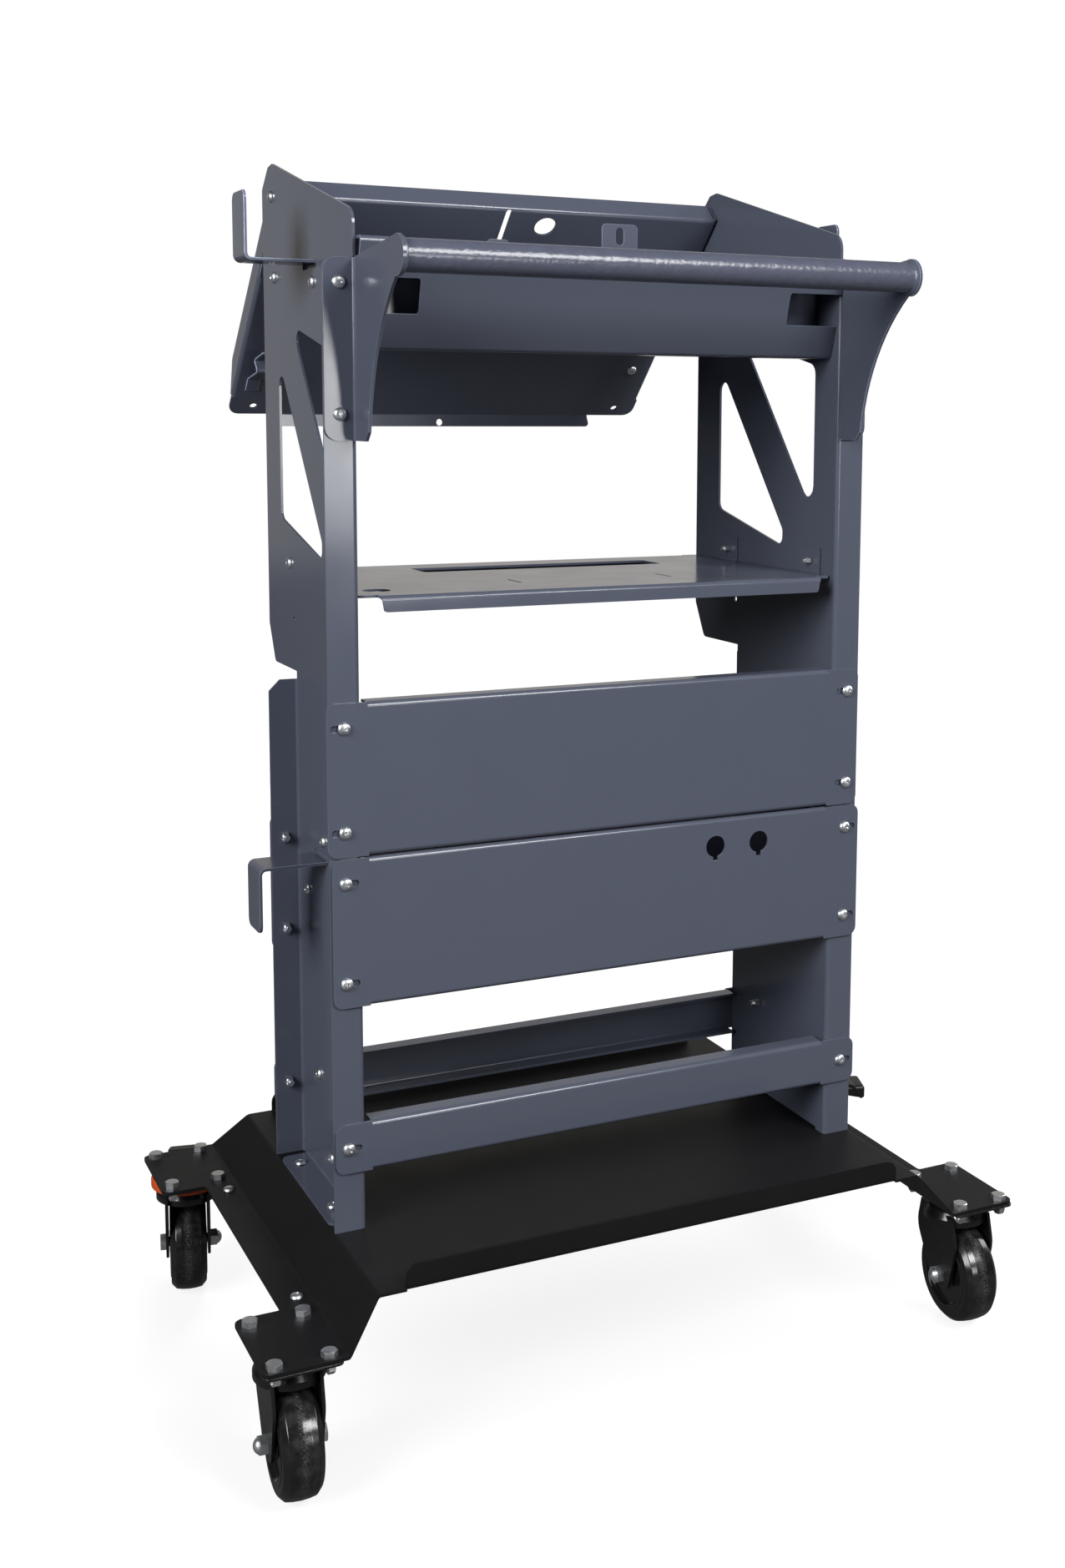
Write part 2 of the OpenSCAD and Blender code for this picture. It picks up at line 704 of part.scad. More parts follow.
// Device tray: drawn flat with its upper face up, then laid on its 45 degree slope
module tray_place() {
  cart() translate([0, tray_top_y, tray_top_z]) rotate([-45, 0, 0]) children();
}
tray_half = frame_half - side_gap;
stop_s = tray_l - 28;
fixing_x = tray_half - 27;
clip_x = tray_half - 20.2;
clip_w = 15;
clip_screw = [tray_half - 25.7, tray_l - 77];
module device_tray() {
  lip_half_w = tray_lip_w / 2;
  lip_l = 14;
  color("#4a4d58") tray_place() difference() {
    union() {
      difference() {
        along_z(0, sheet_t)
          polygon(rounded([[-tray_half, bend_out, 0], [tray_half, bend_out, 0], [tray_half, tray_l, 12],
            [-tray_half, tray_l, 12]]));
        both_sides() translate([tray_half - bend_out, -1, -1]) cube([bend_out + 1, tray_l - 25, sheet_t + 2]);
      }
      along_x(-tray_half + bend_out, tray_half - bend_out)
        bent([[0, tray_flange], [0, 0], [bend_out + 1, 0]], sheet_t);
      both_sides() intersection() {
        along_y(0, tray_l - 26)
          bent([[tray_half - bend_out - 1, 0], [tray_half, 0], [tray_half, tray_flange]], sheet_t);
        along_x(0, tray_half + 1)
          polygon(rounded([[0, -1, 0], [tray_l - 26, -1, 0], [tray_l - 26, 6, 0], [tray_l - 60, tray_flange, 10],
            [0, tray_flange, 4]]));
      }
      // The lower lip turns down to vertical
      intersection() {
        along_x(-lip_half_w, lip_half_w)
          bent([[tray_l - 8, 0], [tray_l, 0], [tray_l + lip_l * sin(45), -lip_l * cos(45)]], sheet_t);
        translate([0, tray_l, 0]) rotate([45, 0, 0]) along_y(-lip_l, lip_l)
          polygon(rounded([[-lip_half_w, -lip_l, 4], [lip_half_w, -lip_l, 4], [lip_half_w - 3, -2, 0],
            [lip_half_w - 3, lip_l, 0], [3 - lip_half_w, lip_l, 0], [3 - lip_half_w, -2, 0]]));
      }
    }
    along_z(-20, sheet_t + 1) {
      translate([0, 33.5]) rotate(90) slot_2d(63, 3.15);
      translate([46.8, 17 + bend_out]) circle(12);
      for (x = [-1, 1]) {
        translate([x * fixing_x, tray_l - 12]) circle(4);
        translate([x * clip_screw.x, clip_screw.y]) circle(hole_r);
      }
    }
    translate([0, tray_l + 5, -8]) rotate([45, 0, 0]) along_y(-12, 12) circle(4);
    along_x(-tray_half - 1, tray_half + 1)
      translate([tray_screw_s, tray_screw_n]) circle(hole_r);
  }
}
tray_screw_s = (tray_screw.x - tray_top_y - tray_screw.y + tray_top_z) * sin(45);
tray_screw_n = (tray_screw.x - tray_top_y + tray_screw.y - tray_top_z) * sin(45);

module device_stop() {
  color("#4a4d58") tray_place()
    along_x(-tray_lip_w / 2 + 5, tray_lip_w / 2 - 5)
      bent([[stop_s + 2, sheet_t], [stop_s + 26, sheet_t], [stop_s + 26, sheet_t + stop_h]], sheet_t);
}

// Spring clip under the tray's left side, bent to a saw tooth
clip_path = [
  [tray_l - 38, 0], [tray_l - 56, -eps], [tray_l - 89, -24], [tray_l - 87, -4], [tray_l - 120, -27]
];
clip_t = 2;
module tray_clips() {
  color("#4a4d58") tray_place()
    along_x(-clip_x - clip_w / 2, -clip_x + clip_w / 2) bent(clip_path, clip_t, 2);
}

// Handle
bracket_r = tube_r + 3.5;
bracket_neck = 40;
bracket_chamfer = 8;
bracket_out = bend_r + bracket_t;
bracket_curve_r = 190;
function arc_through(p, q, r, n) =
  let (
    mid = (p + q) / 2,
    half = norm(q - p) / 2,
    centre = mid + left_of(unit(q - p)) * sqrt(r * r - half * half),
    a0 = atan2(p.y - centre.y, p.x - centre.x),
    a1 = atan2(q.y - centre.y, q.x - centre.x),
    turn = (a1 - a0 + 540) % 360 - 180
  )
  [for (i = [0:n]) centre + r * [cos(a0 + turn * i / n), sin(a0 + turn * i / n)]];
module handle_bracket() {
  x0 = frame_half;
  tip = [-handle_reach, handle_z];
  neck_end = tip + bracket_r * [cos(-78), sin(-78)];
  neck = reversed(arc_through([-bracket_neck, bracket_low + bracket_chamfer], neck_end, bracket_curve_r, 12));
  color("#565965") difference() {
    union() {
      along_x(x0, x0 + bracket_t) {
        translate(tip) circle(bracket_r);
        polygon(concat(
          [[-bracket_out, post_top], tip + bracket_r * [cos(95), sin(95)]], neck,
          [[-bracket_neck + bracket_chamfer, bracket_low], [-bracket_out, bracket_low]]));
      }
      along_z(bracket_low, post_top)
        bent([[x0 + bracket_out + 1, 0], [x0, 0], [x0, -bracket_out - 1]], bracket_t);
      along_y(-bracket_t, 0)
        polygon(rounded([[x0 + bracket_out, bracket_low, 0], [x0 + flange_w, bracket_low, 12],
          [x0 + flange_w, post_top, 12], [x0 + bracket_out, post_top, 0]]));
    }
    along_y(-bracket_t - 1, 1) for (z = bracket_z) translate([post_screw_x, z]) circle(hole_r);
  }
}
module handle_bracket_right() { cart() handle_bracket(); }
module handle_bracket_left() { cart() mirror([1, 0, 0]) handle_bracket(); }
module handle_tube() {
  color("#5d606c") cart() difference() {
    along_x(-frame_half, frame_half) translate([-handle_reach, handle_z]) circle(tube_r);
    along_x(-frame_half - 1, frame_half + 1) translate([-handle_reach, handle_z]) circle(tube_r - tube_wall);
  }
}

// Cable hooks: the leg lies inside the web, the arm passes through its slot
module hook(y) {
  x0 = frame_half;
  reach = x0 + hook_reach;
  color("#565965") difference() {
    intersection() {
      along_y(y, y + hook_w)
        bent([[x0, -hook_leg], [x0, -bracket_t], [reach, -bracket_t], [reach, hook_rise]], bracket_t, hook_r);
      along_x(x0 - 2 * bracket_t, reach + 1)
        polygon(rounded([[y, -hook_leg, 6], [y + hook_w, -hook_leg, 6], [y + hook_w, hook_rise, 8],
          [y, hook_rise, 8]]));
    }
    along_x(x0 - 2 * bracket_t, x0 + 1) translate([y + hook_screw_in, -hook_screw_drop]) circle(hole_r);
  }
}
module upper_hook_right() { cart() translate([0, 0, upper_hook_z]) hook(upper_hook_y); }
module upper_hook_left() { cart() mirror([1, 0, 0]) translate([0, 0, upper_hook_z]) hook(upper_hook_y); }
module lower_hook_right() {
  cart() translate([0, 0, lower_hook_z]) mirror([0, 0, 1]) hook(lower_hook_y);
}
module lower_hook_left() {
  cart() mirror([1, 0, 0]) translate([0, 0, lower_hook_z]) mirror([0, 0, 1]) hook(lower_hook_y);
}

// Fastener groups
module panel_screws() {
  color("#c5c8cc") cart() {
    on_posts(concat(upper_panel_z, lower_panel_z)) facing_front(-sheet_t) pan_screw(14);
    on_rear() on_posts(lower_panel_z) facing_front(-sheet_t) pan_screw(14);
  }
}
module panel_nuts() {
  color("#b3b6ba") cart() {
    on_posts(concat(upper_panel_z, lower_panel_z)) facing_front(sheet_t + nut_h) small_nut();
    on_rear() on_posts(lower_panel_z) facing_front(sheet_t + nut_h) small_nut();
  }
}
module rail_screws() {
  color("#c5c8cc") cart() {
    on_posts([front_rail_z]) facing_front(-sheet_t) pan_screw(14);
    on_rear() on_posts([rear_rail_z]) facing_front(-sheet_t) pan_screw(14);
  }
}
module rail_nuts() {
  color("#b3b6ba") cart() {
    on_posts([front_rail_z]) facing_front(sheet_t + nut_h) small_nut();
    on_rear() on_posts([rear_rail_z]) facing_front(sheet_t + nut_h) small_nut();
  }
}
module bracket_screws() {
  color("#c5c8cc") cart() on_posts(bracket_z) facing_front(-bracket_t) pan_screw(14);
}
module bracket_nuts() {
  color("#b3b6ba") cart() on_posts(bracket_z)
    facing_front(sheet_t + nut_h) small_nut();
}

// Web fasteners, as [[y, z], thickness behind the web's inner face]
web_places = concat(
  [for (y = shelf_tab_y) [[y, shelf_screw_z], sheet_t]],
  [[[box_tab_y, box_screw_z], sheet_t]],
  [[[upper_hook_y + hook_screw_in, upper_hook_z - hook_screw_drop], bracket_t]],
  [[[lower_hook_y + hook_screw_in, lower_hook_z + hook_screw_drop], bracket_t]],
  [for (place = web_bolts) [place, 0]]);
module web_screws() {
  color("#c5c8cc") cart() both_sides() for (place = web_places)
    translate([frame_half + sheet_t, place[0].x, place[0].y]) rotate([0, 90, 0]) pan_screw(14);
}
module web_nuts() {
  color("#b3b6ba") cart() both_sides() for (place = web_places)
    translate([frame_half - place[1] - nut_h, place[0].x, place[0].y]) rotate([0, 90, 0])
      small_nut();
}
module foot_screws() {
  color("#c5c8cc") cart() both_sides() {
    for (y = foot_screw_y) translate([post_screw_x, y, deck_z + sheet_t]) pan_screw(14);
    for (y = strip_screw_y) translate([strip_screw_x, y, ear_z]) pan_screw(12);
  }
}
module foot_nuts() {
  color("#b3b6ba") cart() both_sides() {
    for (y = foot_screw_y) translate([post_screw_x, y, deck_z - base_t - nut_h])
      small_nut();
    for (y = strip_screw_y) translate([strip_screw_x, y, ear_z - base_t - nut_h])
      small_nut();
  }
}
module tray_screws() {
  color("#c5c8cc") {
    cart() both_sides() translate([frame_half + sheet_t, tray_screw.x, tray_screw.y])
      rotate([0, 90, 0]) pan_screw(9);
    tray_place() for (x = [-1, 1])
      translate([x * clip_screw.x, clip_screw.y, 0]) rotate([180, 0, 0]) pan_screw(9);
  }
}
module tray_nuts() {
  color("#b3b6ba") tray_place() for (x = [-1, 1])
    translate([x * clip_screw.x, clip_screw.y, sheet_t]) small_nut();
}
bolt_l = base_t + plate_t + bolt_nut_h + bolt_end;
module caster_bolts() {
  color("#b9bcc0") cart() caster_places(["fl", "fr", "rl", "rr"]) bolt_places()
    translate([0, 0, ear_z]) hex_bolt(bolt_w, bolt_h, bolt_r, bolt_l);
}
module caster_nuts() {
  color("#b3b6ba") cart() caster_places(["fl", "fr", "rl", "rr"]) bolt_places()
    translate([0, 0, plate_low - bolt_nut_h]) hex_nut(bolt_w, bolt_nut_h, bolt_r + 0.1);
}

// Casters: the local frame has the swivel axis on z and the axle trailing along y
function turn_at(name) = name == "fl" ? turn_fl : name == "fr" ? turn_fr : name == "rl" ? turn_rl : turn_rr;
module turned(name) {
  cart() caster_places([name]) rotate([0, 0, -turn_at(name)]) children();
}
module caster_plate(name) {
  color("#1b1b1d") cart() caster_places([name]) difference() {
    union() {
      along_z(plate_low, plate_low + plate_t)
        polygon(rounded(box_outline(-35, 35, -51, 51, 6)));
      translate([0, 0, plate_low - race_h]) cylinder(r1 = 22, r2 = 26, h = race_h + eps);
    }
    bolt_places() along_z(plate_low - 1, plate_low + plate_t + 1) circle(bolt_hole_r);
    along_z(plate_low - race_h - 1, plate_low + plate_t + 1) circle(kingpin_r + 0.1);
  }
}
module kingpins() {
  color("#8d9094") cart() caster_places(["fl", "fr", "rl", "rr"]) {
    head_top = crown_top - fork_t - swivel_gap;
    along_z(head_top, plate_low + plate_t) circle(kingpin_r);
    translate([0, 0, head_top - 4]) cylinder(r1 = 7, r2 = 10, h = 4 + eps);
  }
}
leg_outline = [
  [-29, crown_top - 4, 0],
  [-36, axle_z + 38, 26],
  [trail - 15, axle_z - 13, 12],
  [trail + 15, axle_z - 13, 12],
  [37, axle_z + 38, 26],
  [29, crown_top - 4, 0]
];
module fork(name, braked) {
  color("#151516") turned(name) difference() {
    union() {
      // Pressed crown, as a shallow cup over the wheel
      rotate_extrude()
        polygon(rounded([[kingpin_r + 0.05, crown_top, 0], [27, crown_top, 5], [32, crown_top - 9, 3],
          [32, crown_top - 15, 0], [29, crown_top - 15, 0], [29, crown_top - 9, 2],
          [25, crown_top - fork_t, 3], [kingpin_r + 0.05, crown_top - fork_t, 0]]));
      for (side = [-1, 1])
        along_x(side > 0 ? fork_in : -fork_in - fork_t, side > 0 ? fork_in + fork_t : -fork_in)
          union() {
            polygon(rounded(leg_outline));
            if (braked)
              polygon(rounded([[20, pivot_z - 14, 0], [pivot_y + 6, pivot_z - 9, 6], [pivot_y + 8, pivot_z + 7, 6],
                [22, pivot_z + 9, 0]]));
          }
    }
    along_x(-fork_in - fork_t - 1, fork_in + fork_t + 1) {
      translate([trail, axle_z]) circle(axle_r + 0.1);
      if (braked) translate([pivot_y, pivot_z]) circle(pivot_r + 0.1);
    }
  }
}
module wheel(name) {
  shoulder = wheel_w / 2 - 6;
  crown = 1.4;
  crown_r = (shoulder * shoulder + crown * crown) / (2 * crown);
  tread = arc_through([wheel_r - crown, -shoulder], [wheel_r - crown, shoulder], crown_r, 6);
  color("#101011") turned(name) translate([0, trail, axle_z]) rotate([0, 90, 0]) rotate_extrude()
    polygon(rounded([
      [axle_r + 0.05, -hub_half, 0], [12, -hub_half, 1.5], [13, -wheel_w / 2 + 4, 2],
      [31, -wheel_w / 2 + 4, 2], [33, -wheel_w / 2, 1.5], [wheel_r - 7, -wheel_w / 2, 5],
      each [for (p = tread) [p.x, p.y, 0]],
      [wheel_r - 7, wheel_w / 2, 5], [33, wheel_w / 2, 1.5], [31, wheel_w / 2 - 4, 2],
      [13, wheel_w / 2 - 4, 2], [12, hub_half, 1.5], [axle_r + 0.05, hub_half, 0]], 4));
}
module axle(name) {
  lock_nut_h = 7;
  outer = fork_in + fork_t;
  color("#aeb1b5") turned(name) translate([0, trail, axle_z]) rotate([0, 90, 0]) {
    along_z(-outer, outer + lock_nut_h + 1) circle(axle_r);
    translate([0, 0, -outer]) rotate([180, 0, 0]) intersection() {
      cylinder(d = 16 / cos(30), h = 6, $fn = 6);
      translate([0, 0, -9]) sphere(r = 17);
    }
    translate([0, 0, outer]) difference() {
      union() {
        cylinder(d = 16 / cos(30), h = lock_nut_h, $fn = 6);
        intersection() {
          translate([0, 0, lock_nut_h - 1]) cylinder(r = 7, h = 6);
          translate([0, 0, lock_nut_h - 3]) sphere(r = 8);
        }
      }
      translate([0, 0, -1]) cylinder(r = axle_r + 0.1, h = lock_nut_h + 2.1);
    }
  }
}
module lock_ring(name) {
  color("#c8481c") cart() caster_places([name])
    translate([0, 0, plate_low - 6]) rotate_extrude()
      polygon(rounded([[27, 0, 0], [ring_r - 1, 0, 1.5], [ring_r, 3, 3], [ring_r - 1, 6, 0], [27, 6, 0]]));
}
module brake_pedal(name) {
  color("#141415") turned(name) difference() {
    union() {
      along_x(-fork_in + 0.5, fork_in - 0.5) translate([pivot_y, pivot_z]) circle(pivot_r + 3.5);
      along_x(-fork_in + 0.5, fork_in - 0.5)
        bent([[pedal_reach, pivot_z - 5], [pedal_reach - 14, pivot_z + 13], [pivot_y + 24, pivot_z + 6],
          [pivot_y, pivot_z + 4]], 4, 5);
    }
    along_x(-fork_in, fork_in) translate([pivot_y, pivot_z]) circle(pivot_r + 0.05);
  }
}
module pedal_pins(name) {
  outer = fork_in + fork_t;
  color("#9a9da1") turned(name) {
    along_x(-outer - 2, outer + 2) translate([pivot_y, pivot_z]) circle(pivot_r);
    for (x = [-outer - 2, outer])
      along_x(x, x + 2) translate([pivot_y, pivot_z]) circle(pivot_r + 1.5);
  }
}

cart() base();
side_frame_left();
side_frame_right();
upper_panel();
lower_panel();
front_rail();
rear_rail();
rear_panel();
shelf();
top_box();
device_tray();
device_stop();
tray_clips();
handle_tube();
handle_bracket_left();
handle_bracket_right();
upper_hook_left();
upper_hook_right();
lower_hook_left();
lower_hook_right();
panel_screws();
panel_nuts();
rail_screws();
rail_nuts();
bracket_screws();
bracket_nuts();
web_screws();
web_nuts();
foot_screws();
foot_nuts();
tray_screws();
tray_nuts();
caster_bolts();
caster_nuts();
kingpins();
caster_plate("fl");  // caster_plate_fl
caster_plate("fr");  // caster_plate_fr
caster_plate("rl");  // caster_plate_rl
caster_plate("rr");  // caster_plate_rr
fork("fl", false);  // fork_fl
fork("fr", false);  // fork_fr
fork("rl", true);  // fork_rl
fork("rr", true);  // fork_rr
wheel("fl");  // wheel_fl
wheel("fr");  // wheel_fr
wheel("rl");  // wheel_rl
wheel("rr");  // wheel_rr
axle("fl");  // axle_fl
axle("fr");  // axle_fr
axle("rl");  // axle_rl
axle("rr");  // axle_rr
lock_ring("rl");  // lock_ring_rl
lock_ring("rr");  // lock_ring_rr
brake_pedal("rl");  // brake_pedal_rl
brake_pedal("rr");  // brake_pedal_rr
pedal_pins("rl");  // pedal_pins_rl
pedal_pins("rr");  // pedal_pins_rr
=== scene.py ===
"""Looks of the diagnostic tool cart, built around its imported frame."""

import json
import math

import bmesh
import bpy
from bpy.props import FloatProperty, FloatVectorProperty, IntProperty, PointerProperty
from mathutils import Matrix, Vector

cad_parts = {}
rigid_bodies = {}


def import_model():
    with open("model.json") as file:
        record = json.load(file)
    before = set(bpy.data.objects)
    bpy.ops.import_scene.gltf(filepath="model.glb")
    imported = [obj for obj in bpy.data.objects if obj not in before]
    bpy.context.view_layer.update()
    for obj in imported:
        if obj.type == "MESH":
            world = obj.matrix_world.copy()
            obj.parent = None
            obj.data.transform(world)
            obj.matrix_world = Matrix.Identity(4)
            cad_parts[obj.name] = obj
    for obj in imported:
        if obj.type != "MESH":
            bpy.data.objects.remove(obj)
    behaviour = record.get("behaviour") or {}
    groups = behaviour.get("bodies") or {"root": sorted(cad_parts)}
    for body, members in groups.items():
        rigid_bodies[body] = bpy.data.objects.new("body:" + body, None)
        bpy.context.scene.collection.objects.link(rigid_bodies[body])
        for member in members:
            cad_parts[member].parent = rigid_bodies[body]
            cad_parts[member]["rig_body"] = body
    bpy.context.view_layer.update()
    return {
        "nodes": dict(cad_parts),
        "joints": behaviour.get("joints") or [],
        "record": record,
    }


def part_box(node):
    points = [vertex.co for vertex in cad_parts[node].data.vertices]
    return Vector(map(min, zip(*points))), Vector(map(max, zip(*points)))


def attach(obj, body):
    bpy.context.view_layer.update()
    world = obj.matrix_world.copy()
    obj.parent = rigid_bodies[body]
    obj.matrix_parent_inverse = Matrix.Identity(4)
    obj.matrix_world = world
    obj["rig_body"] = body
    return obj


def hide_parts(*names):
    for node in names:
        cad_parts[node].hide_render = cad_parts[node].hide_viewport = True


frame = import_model()

bl_info = {
    "name": "Diagnostic tool cart",
    "version": (1, 0, 0),
    "blender": (4, 5, 0),
    "location": "3D View > Sidebar > Tool cart",
    "description": "Dresses the packed frame of a workshop tool cart and sets its studio",
    "category": "Object",
}

MM = 0.001
PHOTO = (1276, 1879)
X_AXIS = Vector((1, 0, 0))
Y_AXIS = Vector((0, 1, 0))
Z_AXIS = Vector((0, 0, 1))
TRAY_NORMAL = Vector((0, 1, 1)).normalized()
# Points closer than this are merged
SAME_PLACE = 0.001 * MM
# Faces that meet at less than this are one flat face, and at more than the other a cut edge
FLAT_TURN = math.radians(0.6)
CUT_EDGE_TURN = math.radians(32)
CASTERS = ("fl", "fr", "rl", "rr")
BRAKED_CASTERS = ("rl", "rr")


def linear(code):
    """An sRGB hex colour as the linear values that Blender works in."""
    parts = [int(code[i : i + 2], 16) / 255 for i in (0, 2, 4)]
    return [c / 12.92 if c <= 0.04045 else ((c + 0.055) / 1.055) ** 2.4 for c in parts] + [1.0]


def colour_setting(name, description, code):
    return FloatVectorProperty(
        name=name, description=description, subtype="COLOR", size=4, min=0, max=1, default=linear(code)
    )


def length_setting(name, description, metres):
    return FloatProperty(
        name=name, description=description, subtype="DISTANCE", unit="LENGTH", default=metres, precision=5
    )


def angle_setting(name, description, degrees):
    return FloatProperty(name=name, description=description, subtype="ANGLE", default=math.radians(degrees))


def power_setting(name, description, watts):
    return FloatProperty(name=name, description=description, subtype="POWER", default=watts)


# Settings


class CartFinishes(bpy.types.PropertyGroup):
    """Colours of the cart's finishes."""

    frame_paint: colour_setting("Frame paint", "Slate grey powder coat of the frame", "555a69")
    handle_paint: colour_setting("Handle paint", "Hammered paint of the handle tube", "565a6a")
    base_paint: colour_setting("Base paint", "Textured black powder coat of the base", "131315")
    zinc: colour_setting("Zinc", "Bright zinc plating of the fasteners", "e2e5e9")
    lacquer: colour_setting("Caster lacquer", "Black lacquer of the pressed caster parts", "161617")
    nylon: colour_setting("Wheel nylon", "Moulded nylon of the wheels", "18181a")
    worn: colour_setting("Worn tread", "Dust and scuffs on the wheels' tread", "6a6864")
    lock: colour_setting("Lock ring", "Moulded ring under the rear casters' plates", "d9541c")


class CartSheetWork(bpy.types.PropertyGroup):
    """Sizes of the sheet metal's finished edges and of its paint."""

    edge: length_setting("Cut edge", "Radius of the painted, cut edges", 1.0 * MM)
    paint_grain: length_setting("Paint grain", "Width of the powder coat's fine peel", 2.2 * MM)
    base_grain: length_setting("Base grain", "Width of the black coat's texture", 1.4 * MM)
    dimple: length_setting("Hammered dimple", "Width of the handle paint's dimples", 4.2 * MM)
    lip_draw: length_setting("Shelf lip", "How far the ends of the shelf's lips are drawn outward", 6 * MM)


class CartFasteners(bpy.types.PropertyGroup):
    """Sizes of the screws, nuts and bolts."""

    pan_radius: length_setting("Pan head radius", "Radius of the pan heads", 6 * MM)
    pan_height: length_setting("Pan head height", "Height of the pan heads", 3.6 * MM)
    shank_radius: length_setting("Screw radius", "Radius of the screws' threads", 3 * MM)
    nut_width: length_setting("Nut width", "Width over the small nuts' flats", 10 * MM)
    nut_height: length_setting("Nut height", "Height of the small nuts", 5 * MM)
    bolt_width: length_setting("Bolt width", "Width over the caster bolts' flats", 13 * MM)
    bolt_radius: length_setting("Bolt radius", "Radius of the caster bolts' threads", 4 * MM)
    bolt_head: length_setting("Bolt head height", "Height of the caster bolts' heads", 5.5 * MM)
    bolt_nut: length_setting("Bolt nut height", "Height of the caster bolts' nuts", 6.5 * MM)
    thread_pitch: length_setting("Thread pitch", "Distance between turns of thread", 1 * MM)


class CartWheels(bpy.types.PropertyGroup):
    """Sizes of the wheels and of the rear casters' brake parts."""

    wheel_radius: length_setting("Wheel radius", "Radius over the tread", 50 * MM)
    wheel_width: length_setting("Wheel width", "Width over the tread's sides", 38 * MM)
    hub_width: length_setting("Hub width", "Width over the hub", 39 * MM)
    hub_radius: length_setting("Hub radius", "Radius of the hub's face", 12 * MM)
    bore_radius: length_setting("Bore radius", "Radius of the wheel's bore", 5.05 * MM)
    rim_radius: length_setting("Rim radius", "Inner radius of the rim beside the sunk web", 32.5 * MM)
    toe_width: length_setting("Toe width", "Width of the brake pedals' moulded toes", 38 * MM)
    toe_depth: length_setting("Toe depth", "Depth of the toes along the pedals", 30 * MM)
    toe_height: length_setting("Toe height", "Thickness of the toes", 17 * MM)
    ring_skirt: length_setting("Ring skirt", "How far the lock rings' skirts hang below the rings", 4.5 * MM)
    ring_over: length_setting("Ring overhang", "How far the skirts stand out past the rings", 3 * MM)
    around: IntProperty(name="Steps round", description="Steps round a wheel", default=96, min=24, max=180)


class CartHandle(bpy.types.PropertyGroup):
    """Sizes of the handle tube and its welds."""

    tube_radius: length_setting("Handle radius", "Radius of the handle tube", 14 * MM)
    tube_wall: length_setting("Handle wall", "Wall of the handle tube", 2 * MM)
    bead_height: length_setting("Weld height", "Height of the weld beads above the tube", 2.6 * MM)
    bead_width: length_setting("Weld width", "Width of the weld beads", 3.2 * MM)


class CartStudio(bpy.types.PropertyGroup):
    """The camera and lights."""

    eye: FloatVectorProperty(
        name="Eye",
        description="The camera's place",
        subtype="XYZ",
        unit="LENGTH",
        default=(-0.7478, -1.6401, 0.9402),
    )
    yaw: angle_setting("Yaw", "Turn to the right of +Y", 26.3621)
    pitch: angle_setting("Pitch", "Tilt above level", -6.922)
    roll: angle_setting("Roll", "Turn about the line of sight", 0.359)
    focal: FloatProperty(name="Focal length", description="In pixels of the photo", default=2147.0)
    centre: FloatVectorProperty(
        name="Centre",
        description="Where the line of sight meets the picture, in pixels",
        size=2,
        default=(750.06, 748.55),
    )
    side: power_setting("Side light", "Power of the left soft box", 95)
    front: power_setting("Front light", "Power of the front soft box", 60)
    card: power_setting("Front card", "Power of the low card in front of the panels", 7.2)
    back: power_setting("Back light", "Power of the right soft box", 50)
    rear: power_setting("Rear light", "Power of the rear soft box, which no face mirrors", 100)
    room: FloatProperty(
        name="Room light", description="Strength of the light from all round", default=0.035, min=0, max=1
    )
    backdrop: FloatProperty(
        name="Backdrop", description="Strength of the paper that glossy faces mirror", default=0.55
    )
    paper_inner: angle_setting("Backdrop width", "Half the angle at which the mirrored paper is even", 28)
    paper_outer: angle_setting("Backdrop edge", "Half the angle at which the mirrored paper ends", 44)
    paper_low: angle_setting("Backdrop height", "Height at which the mirrored paper starts to fade", 10)
    paper_high: angle_setting("Backdrop fade", "Height at which the mirrored paper is faded", 24)


# Name, place, aim and size in metres, setting for the power, and whether glossy faces mirror the lamp
LAMPS = (
    ("left soft box", (-2.7, -1.3, 1.9), (0, 0, 0.7), (1.5, 1.7), "side", True),
    ("front soft box", (0.85, -2.3, 2.4), (0, 0, 0.9), (1.0, 1.0), "front", True),
    ("low front card", (0.5, -2.4, 0.93), (0, 0, 0.9), (0.34, 0.5), "card", True),
    ("right soft box", (2.9, -0.2, 1.9), (0, 0, 0.6), (1.5, 1.5), "back", True),
    ("rear soft box", (1.2, 3.0, 2.5), (0, 0, 0.7), (1.5, 1.5), "rear", False),
)


# Materials

# The Mix node's colour sockets share their names with others, so they go by number
MIX_A, MIX_B, MIXED = 6, 7, 2


def add(tree, kind, inputs=None, out=0, **settings):
    """Adds a node and returns an output: settings are its properties, and inputs values or linked outputs."""
    node = tree.nodes.new(kind)
    for key, value in settings.items():
        setattr(node, key, value)
    for key, value in (inputs or {}).items():
        if isinstance(value, bpy.types.NodeSocket):
            tree.links.new(value, node.inputs[key])
        else:
            node.inputs[key].default_value = value
    return node.outputs[out] if node.outputs else None


def new_material(name):
    """An empty material, its node tree, and the object coordinates that its patterns lie on."""
    material = bpy.data.materials.new(name)
    material.use_nodes = True
    material.node_tree.nodes.clear()
    tree = material.node_tree
    return material, tree, add(tree, "ShaderNodeTexCoord", out="Object")


def shaded(colour, factor):
    return [min(1.0, c * factor) for c in colour[:3]] + [1.0]


